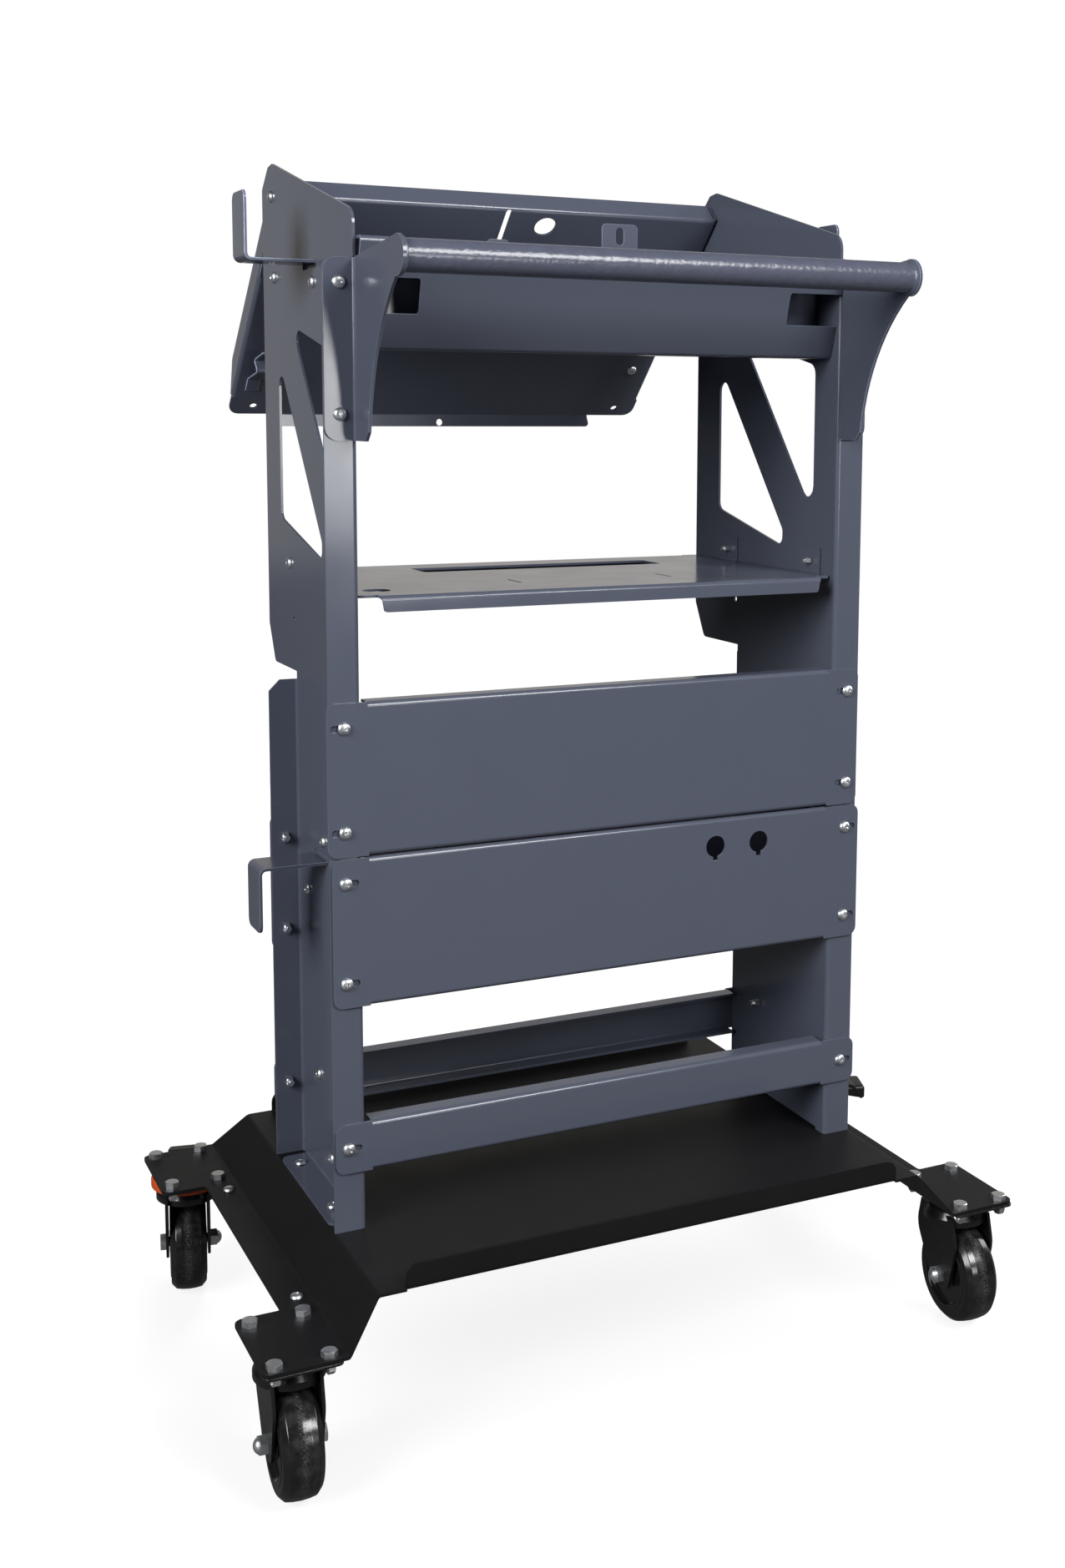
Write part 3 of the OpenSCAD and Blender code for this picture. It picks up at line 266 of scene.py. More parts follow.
def powder_coat(name, colour, grain, depth, roughness, edge_highlight_gain, cloud, sheen=0.5):
    """Powder coat: a fine, soft peel under a satin skin, with the cut edges painted lighter as a highlight.
    """
    material, tree, place = new_material(name)
    clouds = add(tree, "ShaderNodeTexNoise", {"Vector": place, "Scale": 1 / (55 * MM), "Detail": 3})
    field = add(
        tree,
        "ShaderNodeMix",
        {"Factor": clouds, MIX_A: shaded(colour, 1 - cloud), MIX_B: shaded(colour, 1 + cloud)},
        out=MIXED,
        data_type="RGBA",
    )
    # The rounded cut edges are painted lighter by the edge gain: a painted highlight
    edge = add(tree, "ShaderNodeAttribute", out="Fac", attribute_name="edge")
    painted = add(
        tree,
        "ShaderNodeMix",
        {"Factor": edge, MIX_A: field, MIX_B: shaded(colour, edge_highlight_gain)},
        out=MIXED,
        data_type="RGBA",
    )
    rough = add(
        tree,
        "ShaderNodeMapRange",
        {
            "Value": clouds,
            "From Min": 0.3,
            "From Max": 0.7,
            "To Min": roughness - 0.02,
            "To Max": roughness + 0.03,
        },
    )
    peel = add(
        tree, "ShaderNodeTexNoise", {"Vector": place, "Scale": 1 / grain, "Detail": 3, "Roughness": 0.55}
    )
    skin = add(
        tree,
        "ShaderNodeBsdfPrincipled",
        {
            "Base Color": painted,
            "Roughness": rough,
            "IOR": 1.5,
            "Specular IOR Level": sheen,
            "Normal": add(tree, "ShaderNodeBump", {"Height": peel, "Distance": depth}),
        },
    )
    add(tree, "ShaderNodeOutputMaterial", {"Surface": skin})
    return material


def hammered_paint(name, colour, dimple):
    """Hammered paint: shallow dimples a few millimetres wide that break the tube's highlight."""
    material, tree, place = new_material(name)
    # The real dimples are somewhat finer, and would not show
    dimples = add(tree, "ShaderNodeTexVoronoi", {"Vector": place, "Scale": 1 / dimple}, feature="SMOOTH_F1")
    ripple = add(tree, "ShaderNodeTexNoise", {"Vector": place, "Scale": 1 / (7 * MM)})
    height = add(tree, "ShaderNodeMath", {0: dimples, 1: ripple}, operation="ADD")
    clouds = add(tree, "ShaderNodeTexNoise", {"Vector": place, "Scale": 1 / (9 * MM), "Detail": 3})
    tone = add(
        tree,
        "ShaderNodeMix",
        {"Factor": clouds, MIX_A: shaded(colour, 0.86), MIX_B: shaded(colour, 1.14)},
        out=MIXED,
        data_type="RGBA",
    )
    skin = add(
        tree,
        "ShaderNodeBsdfPrincipled",
        {
            "Base Color": tone,
            "Roughness": 0.24,
            "IOR": 1.5,
            "Normal": add(tree, "ShaderNodeBump", {"Height": height, "Distance": 0.22 * MM}),
        },
    )
    add(tree, "ShaderNodeOutputMaterial", {"Surface": skin})
    return material


def zinc_plate(name, colour, roughness):
    """Bright zinc plating on turned or pressed steel: a clear metal with a faint, uneven haze."""
    material, tree, place = new_material(name)
    haze = add(
        tree, "ShaderNodeTexNoise", {"Vector": place, "Scale": 1 / (5 * MM), "Detail": 4, "Roughness": 0.6}
    )
    tone = add(
        tree,
        "ShaderNodeMix",
        {"Factor": haze, MIX_A: shaded(colour, 0.92), MIX_B: shaded(colour, 1.08)},
        out=MIXED,
        data_type="RGBA",
    )
    rough = add(
        tree,
        "ShaderNodeMapRange",
        {
            "Value": haze,
            "From Min": 0.3,
            "From Max": 0.7,
            "To Min": roughness - 0.06,
            "To Max": roughness + 0.1,
        },
    )
    # The real scratches are finer than this, and would not show
    scratches = add(tree, "ShaderNodeTexNoise", {"Vector": place, "Scale": 1 / (0.7 * MM)})
    skin = add(
        tree,
        "ShaderNodeBsdfPrincipled",
        {
            "Base Color": tone,
            "Metallic": 1.0,
            "Roughness": rough,
            "Normal": add(tree, "ShaderNodeBump", {"Height": scratches, "Distance": 0.02 * MM}),
        },
    )
    add(tree, "ShaderNodeOutputMaterial", {"Surface": skin})
    return material


def black_lacquer(name, colour, roughness, grain):
    """Dipped black lacquer on pressed steel: wet, round highlights with a slow ripple."""
    material, tree, place = new_material(name)
    ripple = add(tree, "ShaderNodeTexNoise", {"Vector": place, "Scale": 1 / grain})
    # The rounded cut edges are painted a fifth lighter: a painted highlight
    edge = add(tree, "ShaderNodeAttribute", out="Fac", attribute_name="edge")
    tone = add(
        tree,
        "ShaderNodeMix",
        {"Factor": edge, MIX_A: shaded(colour, 1.0), MIX_B: shaded(colour, 1.2)},
        out=MIXED,
        data_type="RGBA",
    )
    patches = add(tree, "ShaderNodeTexNoise", {"Vector": place, "Scale": 1 / (12 * MM), "Detail": 3})
    rough = add(
        tree,
        "ShaderNodeMapRange",
        {
            "Value": patches,
            "From Min": 0.3,
            "From Max": 0.7,
            "To Min": roughness - 0.05,
            "To Max": roughness + 0.08,
        },
    )
    skin = add(
        tree,
        "ShaderNodeBsdfPrincipled",
        {
            "Base Color": tone,
            "Roughness": rough,
            "IOR": 1.52,
            "Normal": add(tree, "ShaderNodeBump", {"Height": ripple, "Distance": 0.05 * MM}),
        },
    )
    add(tree, "ShaderNodeOutputMaterial", {"Surface": skin})
    return material


def moulded_nylon(name, colour, worn):
    """Moulded nylon: polished black sides, and a hazy, scuffed tread with a speckled line down its middle."""
    material, tree, place = new_material(name)
    tread = add(tree, "ShaderNodeAttribute", out="Fac", attribute_name="tread")
    middle = add(tree, "ShaderNodeMapRange", {"Value": tread, "From Min": 0.72, "From Max": 0.96})
    speckle = add(
        tree, "ShaderNodeTexNoise", {"Vector": place, "Scale": 1 / (1.3 * MM), "Detail": 5, "Roughness": 0.75}
    )
    specks = add(tree, "ShaderNodeMapRange", {"Value": speckle, "From Min": 0.5, "From Max": 0.66})
    grit = add(tree, "ShaderNodeMath", {0: specks, 1: middle}, operation="MULTIPLY")
    patches = add(
        tree, "ShaderNodeTexNoise", {"Vector": place, "Scale": 1 / (11 * MM), "Detail": 4, "Roughness": 0.6}
    )
    scuffs = add(
        tree,
        "ShaderNodeMapRange",
        {"Value": patches, "From Min": 0.42, "From Max": 0.72, "To Max": 0.3},
    )
    haze = add(tree, "ShaderNodeMath", {0: scuffs, 1: tread}, operation="MULTIPLY")
    dust = add(tree, "ShaderNodeMath", {0: grit, 1: haze}, operation="MAXIMUM")
    clouds = add(tree, "ShaderNodeTexNoise", {"Vector": place, "Scale": 1 / (20 * MM)})
    field = add(
        tree,
        "ShaderNodeMix",
        {"Factor": clouds, MIX_A: shaded(colour, 0.85), MIX_B: shaded(colour, 1.15)},
        out=MIXED,
        data_type="RGBA",
    )
    tone = add(
        tree,
        "ShaderNodeMix",
        {"Factor": dust, MIX_A: field, MIX_B: list(worn)},
        out=MIXED,
        data_type="RGBA",
    )
    rough = add(tree, "ShaderNodeMapRange", {"Value": dust, "To Min": 0.16, "To Max": 0.6})
    # The mould's real grain is finer than this, and would not show
    skin_grain = add(tree, "ShaderNodeTexNoise", {"Vector": place, "Scale": 1 / (1.6 * MM)})
    skin = add(
        tree,
        "ShaderNodeBsdfPrincipled",
        {
            "Base Color": tone,
            "Roughness": rough,
            "IOR": 1.53,
            "Normal": add(tree, "ShaderNodeBump", {"Height": skin_grain, "Distance": 0.02 * MM}),
        },
    )
    add(tree, "ShaderNodeOutputMaterial", {"Surface": skin})
    return material


def moulded_plastic(name, colour, roughness):
    """Moulded plastic: an even colour under a soft gloss."""
    material, tree, place = new_material(name)
    clouds = add(tree, "ShaderNodeTexNoise", {"Vector": place, "Scale": 1 / (15 * MM), "Detail": 3})
    tone = add(
        tree,
        "ShaderNodeMix",
        {"Factor": clouds, MIX_A: shaded(colour, 0.92), MIX_B: shaded(colour, 1.08)},
        out=MIXED,
        data_type="RGBA",
    )
    # The mould's real grain is finer than this, and would not show
    grain = add(tree, "ShaderNodeTexNoise", {"Vector": place, "Scale": 1 / (0.9 * MM)})
    skin = add(
        tree,
        "ShaderNodeBsdfPrincipled",
        {
            "Base Color": tone,
            "Roughness": roughness,
            "IOR": 1.5,
            "Normal": add(tree, "ShaderNodeBump", {"Height": grain, "Distance": 0.02 * MM}),
        },
    )
    add(tree, "ShaderNodeOutputMaterial", {"Surface": skin})
    return material


def studio_paper():
    """Matt studio paper: dark to the cart, and white with the cart's shadow where it is seen."""
    material, tree, place = new_material("studio_paper")
    near, far = 1.0, 3.5
    rays = add(tree, "ShaderNodeLightPath").node.outputs
    seen = add(
        tree,
        "ShaderNodeMath",
        {0: rays["Is Camera Ray"], 1: rays["Is Transmission Ray"]},
        operation="MAXIMUM",
    )
    tone = add(
        tree,
        "ShaderNodeMix",
        {"Factor": seen, MIX_A: linear("3c3c3c"), MIX_B: linear("787878")},
        out=MIXED,
        data_type="RGBA",
    )
    away = add(tree, "ShaderNodeVectorMath", {0: place}, out="Value", operation="LENGTH")
    white = add(
        tree,
        "ShaderNodeMapRange",
        {"Value": away, "From Min": near, "From Max": far, "To Min": 0.84},
    )
    mirrored = add(tree, "ShaderNodeMapRange", {"Value": rays["Is Glossy Ray"], "To Max": 0.05})
    glow = add(tree, "ShaderNodeMapRange", {"Value": seen, "To Min": mirrored, "To Max": white})
    paper = add(
        tree,
        "ShaderNodeBsdfPrincipled",
        {
            "Base Color": tone,
            "Roughness": 0.9,
            "Emission Color": linear("ffffff"),
            "Emission Strength": glow,
        },
    )
    add(tree, "ShaderNodeOutputMaterial", {"Surface": paper})
    return material


def studio_room(settings):
    """A dim room for soft light, with a lit paper backdrop behind the cart, and white where it is seen."""
    world = bpy.data.worlds.new("studio_room")
    world.use_nodes = True
    tree = world.node_tree
    tree.nodes.clear()
    rays = add(tree, "ShaderNodeLightPath").node.outputs
    seen = add(
        tree,
        "ShaderNodeMath",
        {0: rays["Is Camera Ray"], 1: rays["Is Transmission Ray"]},
        operation="MAXIMUM",
    )
    place = add(tree, "ShaderNodeTexCoord", out="Generated")
    turn = 0.8 * settings.yaw
    toward = Vector((math.sin(turn), math.cos(turn), 0))
    facing = add(tree, "ShaderNodeVectorMath", {0: place, 1: toward}, out="Value", operation="DOT_PRODUCT")
    wide = add(
        tree,
        "ShaderNodeMapRange",
        {
            "Value": facing,
            "From Min": math.cos(settings.paper_outer),
            "From Max": math.cos(settings.paper_inner),
        },
    )
    height = add(tree, "ShaderNodeSeparateXYZ", {"Vector": place}, out="Z")
    low = add(
        tree,
        "ShaderNodeMapRange",
        {
            "Value": height,
            "From Min": math.sin(settings.paper_low),
            "From Max": math.sin(settings.paper_high),
            "To Min": 1,
            "To Max": 0.65,
        },
    )
    lit = add(tree, "ShaderNodeMath", {0: wide, 1: low}, operation="MULTIPLY")
    paper = add(
        tree,
        "ShaderNodeMapRange",
        {"Value": lit, "To Min": settings.room, "To Max": settings.backdrop},
    )
    mirrored = add(
        tree,
        "ShaderNodeMapRange",
        {"Value": rays["Is Glossy Ray"], "To Min": settings.room, "To Max": paper},
    )
    strength = add(tree, "ShaderNodeMapRange", {"Value": seen, "To Min": mirrored})
    tone = add(
        tree,
        "ShaderNodeMix",
        {"Factor": seen, MIX_A: linear("fffaf2"), MIX_B: linear("ffffff")},
        out=MIXED,
        data_type="RGBA",
    )
    sky = add(tree, "ShaderNodeBackground", {"Color": tone, "Strength": strength})
    add(tree, "ShaderNodeOutputWorld", {"Surface": sky})
    return world


FINISHES = {}


def make_finishes(colours, sheet):
    """Makes each finish once, from the settings."""
    # Each coat's edge gain paints its rounded cut edges lighter: a painted highlight
    FINISHES["frame_paint"] = powder_coat(
        "slate_powder_coat",
        colours.frame_paint,
        grain=sheet.paint_grain,
        depth=0.008 * MM,
        roughness=0.16,
        edge_highlight_gain=3.0,
        cloud=0.02,
    )
    FINISHES["handle_paint"] = hammered_paint("hammered_paint", colours.handle_paint, sheet.dimple)
    # The black coat's real texture is finer than its setting, and would not show
    FINISHES["base_paint"] = powder_coat(
        "textured_black_powder_coat",
        colours.base_paint,
        grain=sheet.base_grain,
        depth=0.06 * MM,
        roughness=0.5,
        edge_highlight_gain=2.2,
        cloud=0.06,
        sheen=0.26,
    )
    FINISHES["zinc"] = zinc_plate("bright_zinc_plate", colours.zinc, roughness=0.38)
    FINISHES["clip_steel"] = powder_coat(
        "clip_powder_coat",
        colours.frame_paint,
        grain=sheet.paint_grain,
        depth=0.012 * MM,
        roughness=0.3,
        edge_highlight_gain=4.0,
        cloud=0.02,
    )
    FINISHES["caster_black"] = black_lacquer("black_lacquer", colours.lacquer, roughness=0.24, grain=6 * MM)
    FINISHES["wheel_nylon"] = moulded_nylon("moulded_nylon", colours.nylon, colours.worn)
    FINISHES["pedal_black"] = moulded_plastic("moulded_pedal_plastic", colours.nylon, roughness=0.38)
    FINISHES["lock_orange"] = moulded_plastic("moulded_orange_plastic", colours.lock, roughness=0.3)


# Making pieces


def slot_of_node(node):
    for part in frame["record"]["subparts"]:
        if part["node"] == node:
            return part["material_slot"]
    raise ValueError(f"the record has no part {node}")


def as_mesh(bm, name):
    mesh = bpy.data.meshes.new(name)
    bm.to_mesh(mesh)
    bm.free()
    return mesh


def copy_of_node(node):
    """A CAD node's mesh as one merged bmesh whose flat faces are whole again."""
    bm = bmesh.new()
    bm.from_mesh(frame["nodes"][node].data)
    bmesh.ops.remove_doubles(bm, verts=bm.verts, dist=10 * SAME_PLACE)
    bmesh.ops.dissolve_limit(bm, angle_limit=FLAT_TURN, verts=bm.verts, edges=bm.edges)
    return bm


def piece(bm, node, smooth, even=True):
    """Turns a bmesh into the shown piece that stands for a CAD node, on its body and with its finish."""
    mesh = as_mesh(bm, node + "_finish")
    mesh.shade_smooth()
    mesh.set_sharp_from_angle(angle=math.radians(smooth))
    slot = slot_of_node(node)
    mesh.materials.append(FINISHES[slot])
    obj = bpy.data.objects.new(node + "_finish", mesh)
    bpy.context.scene.collection.objects.link(obj)
    if even:
        # Large faces keep their own direction, and the narrow edge faces turn between them
        modifier = obj.modifiers.new("even normals", "WEIGHTED_NORMAL")
        modifier.keep_sharp = True
    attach(obj, frame["nodes"][node]["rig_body"])
    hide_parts(node)


def dressed(node, edge, smooth=50, reshape=None):
    """A CAD node with its cut edges rounded, and those edges marked for the finish's painted highlight."""
    bm = copy_of_node(node)
    if reshape:
        reshape(bm)
    painted_highlight_marks = bm.faces.layers.float.new("edge")
    corners = [e for e in bm.edges if e.is_manifold and e.calc_face_angle(0) > CUT_EDGE_TURN]
    made = bmesh.ops.bevel(
        bm,
        geom=corners,
        offset=edge,
        offset_type="OFFSET",
        segments=2,
        profile=0.5,
        affect="EDGES",
        clamp_overlap=True,
        material=-1,
    )
    for face in made["faces"]:
        face[painted_highlight_marks] = 1.0
    piece(bm, node, smooth)


def spun(bm, profile, axis, centre=(0, 0, 0), steps=48):
    """A (radius, height) profile turned all the way round an axis, and closed unless it ends on the axis."""
    side = axis.orthogonal().normalized()
    start = [bm.verts.new(Vector(centre) + side * r + axis * h) for r, h in profile]
    edges = [bm.edges.new(pair) for pair in zip(start, start[1:])]
    if profile[0][0] > 0 or profile[-1][0] > 0:
        edges.append(bm.edges.new((start[-1], start[0])))
    bmesh.ops.spin(
        bm,
        geom=start + edges,
        cent=centre,
        axis=axis,
        dvec=(0, 0, 0),
        angle=2 * math.pi,
        steps=steps,
        use_merge=True,
    )
    bmesh.ops.remove_doubles(bm, verts=bm.verts, dist=SAME_PLACE)
    bmesh.ops.recalc_face_normals(bm, faces=bm.faces)
    if bm.calc_volume(signed=True) < 0:
        bmesh.ops.reverse_faces(bm, faces=bm.faces)


def rounded_profile(points, steps=4):
    """(radius, height, corner radius) points as a profile with its corners turned on arcs."""
    done = []
    for i, (r, h, bend) in enumerate(points):
        here = Vector((r, h))
        if bend == 0:
            done.append(here)
            continue
        before = (Vector(points[i - 1][:2]) - here).normalized()
        after = (Vector(points[(i + 1) % len(points)][:2]) - here).normalized()
        half = before.angle(after) / 2
        reach = bend / math.tan(half)
        first = here + before * reach
        last = here + after * reach
        middle = here + (before + after).normalized() * bend / math.sin(half)
        for k in range(steps + 1):
            arm = (first - middle).lerp(last - middle, k / steps)
            done.append(middle + arm.normalized() * bend)
    return [tuple(p) for p in done]


def carved(first, second, operation):
    """Two closed bmeshes joined, cut or intersected into a new one."""
    objects = []
    for bm in (first, second):
        obj = bpy.data.objects.new("carving", as_mesh(bm, "carving"))
        bpy.context.scene.collection.objects.link(obj)
        objects.append(obj)
    cut = objects[0].modifiers.new("carve", "BOOLEAN")
    cut.operation, cut.object, cut.solver = operation, objects[1], "EXACT"
    bpy.context.view_layer.update()
    result = bmesh.new()
    result.from_object(objects[0], bpy.context.evaluated_depsgraph_get())
    for obj in objects:
        mesh = obj.data
        bpy.data.objects.remove(obj)
        bpy.data.meshes.remove(mesh)
    bmesh.ops.remove_doubles(result, verts=result.verts, dist=SAME_PLACE)
    return result


def solids_of(node):
    """The vertex places of each separate solid in a CAD node, in the order of its vertices."""
    bm = copy_of_node(node)
    seen = set()
    solids = []
    for first in bm.verts:
        if first in seen:
            continue
        seen.add(first)
        found = [first]
        for vert in found:
            for link in vert.link_edges:
                other = link.other_vert(vert)
                if other not in seen:
                    seen.add(other)
                    found.append(other)
        solids.append([vert.co.copy() for vert in found])
    bm.free()
    return solids


def seat_of(points, head_radius):
    """Where a round fastener's head sits, the way it faces, and the length under the head."""
    best = None
    for axis in (X_AXIS, Y_AXIS, Z_AXIS, TRAY_NORMAL):
        u = axis.orthogonal().normalized()
        w = axis.cross(u)
        spans = [(min(p.dot(k) for p in points), max(p.dot(k) for p in points)) for k in (u, w)]
        middle = u * sum(spans[0]) / 2 + w * sum(spans[1]) / 2
        reach = [(p - axis * p.dot(axis) - middle).length for p in points]
        if best is None or max(reach) < best[0]:
            best = (max(reach), axis, middle, reach)
    _, axis, middle, reach = best
    along = [p.dot(axis) for p in points]
    under_head = 0.85 * head_radius
    wide = [t for t, r in zip(along, reach) if r > under_head]
    if sum(wide) / len(wide) > (min(along) + max(along)) / 2:
        return middle + axis * min(wide), axis, min(wide) - min(along)
    return middle + axis * max(wide), -axis, max(along) - max(wide)


def stood(bm, part, seat, direction, turn):
    """Adds a copy of a part, which was made standing on z = 0, at its seat."""
    start = len(bm.verts)
    bm.from_mesh(part)
    bm.verts.ensure_lookup_table()
    place = (
        Matrix.Translation(seat)
        @ direction.to_track_quat("Z", "Y").to_matrix().to_4x4()
        @ Matrix.Rotation(turn, 4, "Z")
    )
    bmesh.ops.transform(bm, matrix=place, verts=bm.verts[start:])


def threaded(radius, length, pitch, plain):
    """The (radius, height) points of a screw's shank under its head, threaded below the plain part."""
    point = 0.6 * MM
    root = radius - 0.45 * pitch
    points = [(radius, 0)]
    z = -plain
    while z - pitch > -length + point:
        points += [(radius, z), (root, z - pitch / 2)]
        z -= pitch
    return points + [(radius, z), (radius - point, -length), (0, -length)]


def recess_bar(height, turn):
    """One tapered bar of the cross that a driver fits, as a cutter at a screw's top."""
    length, width, depth = 6.6 * MM, 1.25 * MM, 2.6 * MM
    length_taper, width_taper = 0.45, 0.7
    bm = bmesh.new()
    bar = bmesh.ops.create_cube(bm, size=1.0)["verts"]
    bmesh.ops.scale(bm, vec=(length, width, depth), verts=bar)
    for vert in bar:
        if vert.co.z < 0:
            vert.co.x *= length_taper
            vert.co.y *= width_taper
    bmesh.ops.rotate(bm, matrix=Matrix.Rotation(turn, 3, "Z"), verts=bar)
    bmesh.ops.translate(bm, vec=(0, 0, height), verts=bar)
    return bm


def pan_screw(length):
    """A pan head screw with a cross recess, standing on z = 0."""
    sizes = bpy.context.scene.cart_fasteners
    r, h = sizes.pan_radius, sizes.pan_height
    plain = 3 * MM
    head = [(0, h), (0.35 * r, 0.985 * h), (0.62 * r, 0.9 * h), (0.82 * r, 0.72 * h), (0.94 * r, 0.46 * h)]
    head += [(r, 0.16 * h), (0.97 * r, 0.0)]
    screw = bmesh.new()
    shank = threaded(sizes.shank_radius, length, sizes.thread_pitch, plain)
    spun(screw, head + shank, Z_AXIS, steps=28)
    for turn in (0, math.pi / 2):
        screw = carved(screw, recess_bar(h, turn), "DIFFERENCE")
    return as_mesh(screw, "pan_screw")


def hexagon(width, height, head=False):
    """A six-sided bar whose corners are turned off, at the top and, unless it is a head, at the bottom."""
    bar = bmesh.new()
    radius = width / math.sqrt(3)
    bmesh.ops.create_cone(bar, cap_ends=True, segments=6, radius1=radius, radius2=radius, depth=height)
    bmesh.ops.translate(bar, vec=(0, 0, height / 2), verts=bar.verts)
    flat, corner = 0.95 * width / 2, 1.2 * width / 2
    chamfer = math.radians(30)
    drop = (corner - flat) * math.tan(chamfer)
    below = -0.1 * MM
    low = [(corner, below), (0, below)] if head else [(corner, drop), (flat, 0), (0, 0)]
    turned = bmesh.new()
    spun(turned, [(0, height), (flat, height), (corner, height - drop)] + low, Z_AXIS)
    return carved(bar, turned, "INTERSECT")


def hex_nut(width, height, bore):
    """A hex nut standing on z = 0, with its bore countersunk."""
    lip, past = 0.6 * MM, 0.5 * MM
    bottom, top = -past, height + past
    mouth = bore + lip + past
    hole = bmesh.new()
    profile = [(0, bottom), (mouth, bottom), (bore, lip), (bore, height - lip), (mouth, top), (0, top)]
    spun(hole, profile, Z_AXIS, steps=32)
    return as_mesh(carved(hexagon(width, height), hole, "DIFFERENCE"), "hex_nut")


def hex_bolt(length):
    """A hex head bolt standing on z = 0."""
    sizes = bpy.context.scene.cart_fasteners
    inside, plain = 2 * MM, 4 * MM
    pitch = 1.25 * sizes.thread_pitch
    shank = bmesh.new()
    points = threaded(sizes.bolt_radius, length, pitch, plain)
    spun(shank, [(0, inside), (sizes.bolt_radius, inside)] + points, Z_AXIS, steps=28)
    return as_mesh(carved(hexagon(sizes.bolt_width, sizes.bolt_head, head=True), shank, "UNION"), "hex_bolt")


def fasteners(node, make, head_radius):
    """Replaces a node of like fasteners, each at the CAD one's seat and turned by its own angle."""
    bm = bmesh.new()
    parts = {}
    turn_step = 37
    for number, points in enumerate(solids_of(node)):
        seat, direction, length = seat_of(points, head_radius)
        key = round(length / (0.1 * MM))
        if key not in parts:
            parts[key] = make(length)
        stood(bm, parts[key], seat, direction, math.radians(number * turn_step % 360))
    piece(bm, node, smooth=30)


# Operators


class CartOperator:
    """What all of the cart's operators share"""

    bl_options = {"REGISTER", "UNDO"}


class MakeFinishes(CartOperator, bpy.types.Operator):
    """Make the paints, the plating and the moulded plastics"""

    bl_idname = "cart.make_finishes"
    bl_label = "Finishes"

    def execute(self, context):
        make_finishes(context.scene.cart_finishes, context.scene.cart_sheet_work)
        return {"FINISHED"}


class DressFrame(CartOperator, bpy.types.Operator):
    """Round and paint the side frames, panels, rails, shelf, top box, tray, brackets and hooks"""

    bl_idname = "cart.dress_frame"
    bl_label = "Painted sheet metal"

    def execute(self, context):
        edge = context.scene.cart_sheet_work.edge
        for part in frame["record"]["subparts"]:
            if part["material_slot"] == "frame_paint" and part["node"] != "shelf":
                dressed(part["node"], edge)
        dressed("shelf", edge, reshape=self.square_lips)
        dressed("tray_clips", 0.8 * edge)
        return {"FINISHED"}

    def square_lips(self, bm):
        """Draws the low corners of the shelf's lips outward, so that their ends stand nearly upright."""
        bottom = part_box("shelf")[0].z
        draw = bpy.context.scene.cart_sheet_work.lip_draw
        height, reach = 6 * MM, 17 * MM
        for side in (-1, 1):
            end = max(v.co.x * side for v in bm.verts if v.co.z < bottom + 1 * MM)
            corner = [v for v in bm.verts if v.co.z < bottom + height and v.co.x * side > end - reach]
            bmesh.ops.translate(bm, vec=(side * draw, 0, 0), verts=corner)


class DressBase(CartOperator, bpy.types.Operator):
    """Round and paint the bent base"""

    bl_idname = "cart.dress_base"
    bl_label = "Base"

    def execute(self, context):
        dressed("base", 1.3 * context.scene.cart_sheet_work.edge)
        return {"FINISHED"}


class BuildHandle(CartOperator, bpy.types.Operator):
    """Make the handle tube with its welds"""

    bl_idname = "cart.build_handle"
    bl_label = "Handle tube"

    def execute(self, context):
        sizes = context.scene.cart_handle
        low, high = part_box("handle_tube")
        radius = sizes.tube_radius
        inner = radius - sizes.tube_wall
        centre = (low + high) / 2
        half = (high.x - low.x) / 2
        lengths = 24
        bm = bmesh.new()
        outside = [(radius, -half + (2 * half) * k / lengths) for k in range(lengths + 1)]
        spun(bm, outside + [(inner, half), (inner, -half)], X_AXIS, centre, steps=72)
        for side in (-1, 1):
            bm.from_mesh(as_mesh(self.weld(sizes, centre, half, side), "bead"))
        piece(bm, "handle_tube", smooth=40, even=False)
        return {"FINISHED"}

    def weld(self, sizes, centre, half, side):
        """A rippled weld bead round one end of the tube."""
        foot = sizes.tube_radius - 0.2 * MM
        ripples, swell = 30, 0.018
        bead = [
            (foot, -sizes.bead_width),
            (sizes.tube_radius + 1.5 * MM, -2.2 * MM),
            (sizes.tube_radius + sizes.bead_height, 0),
            (foot, 0),
        ]
        ring = bmesh.new()
        end = centre + X_AXIS * half * side
        spun(ring, [(r, h * side) for r, h in bead], X_AXIS, end, steps=60)
        for vert in ring.verts:
            arm = vert.co - centre
            ripple = 1 + swell * math.sin(ripples * math.atan2(arm.y, arm.z))
            vert.co.y = centre.y + arm.y * ripple
            vert.co.z = centre.z + arm.z * ripple
        return ring


class BuildFasteners(CartOperator, bpy.types.Operator):
    """Make the screws, nuts and bolts"""

    bl_idname = "cart.build_fasteners"
    bl_label = "Fasteners"

    def execute(self, context):
        sizes = context.scene.cart_fasteners
        places = ("panel", "rail", "bracket", "web", "foot", "tray")
        for place in places:
            fasteners(place + "_screws", pan_screw, sizes.pan_radius)
        corner = sizes.nut_width / math.sqrt(3)
        for place in places:
            fasteners(place + "_nuts", self.small_nut, corner)
        corner = sizes.bolt_width / math.sqrt(3)
        fasteners("caster_bolts", hex_bolt, corner)
        fasteners("caster_nuts", self.caster_nut, corner)
        return {"FINISHED"}

    def small_nut(self, length):
        sizes = bpy.context.scene.cart_fasteners
        return hex_nut(sizes.nut_width, sizes.nut_height, sizes.shank_radius)

    def caster_nut(self, length):
        sizes = bpy.context.scene.cart_fasteners
        return hex_nut(sizes.bolt_width, sizes.bolt_nut, sizes.bolt_radius)


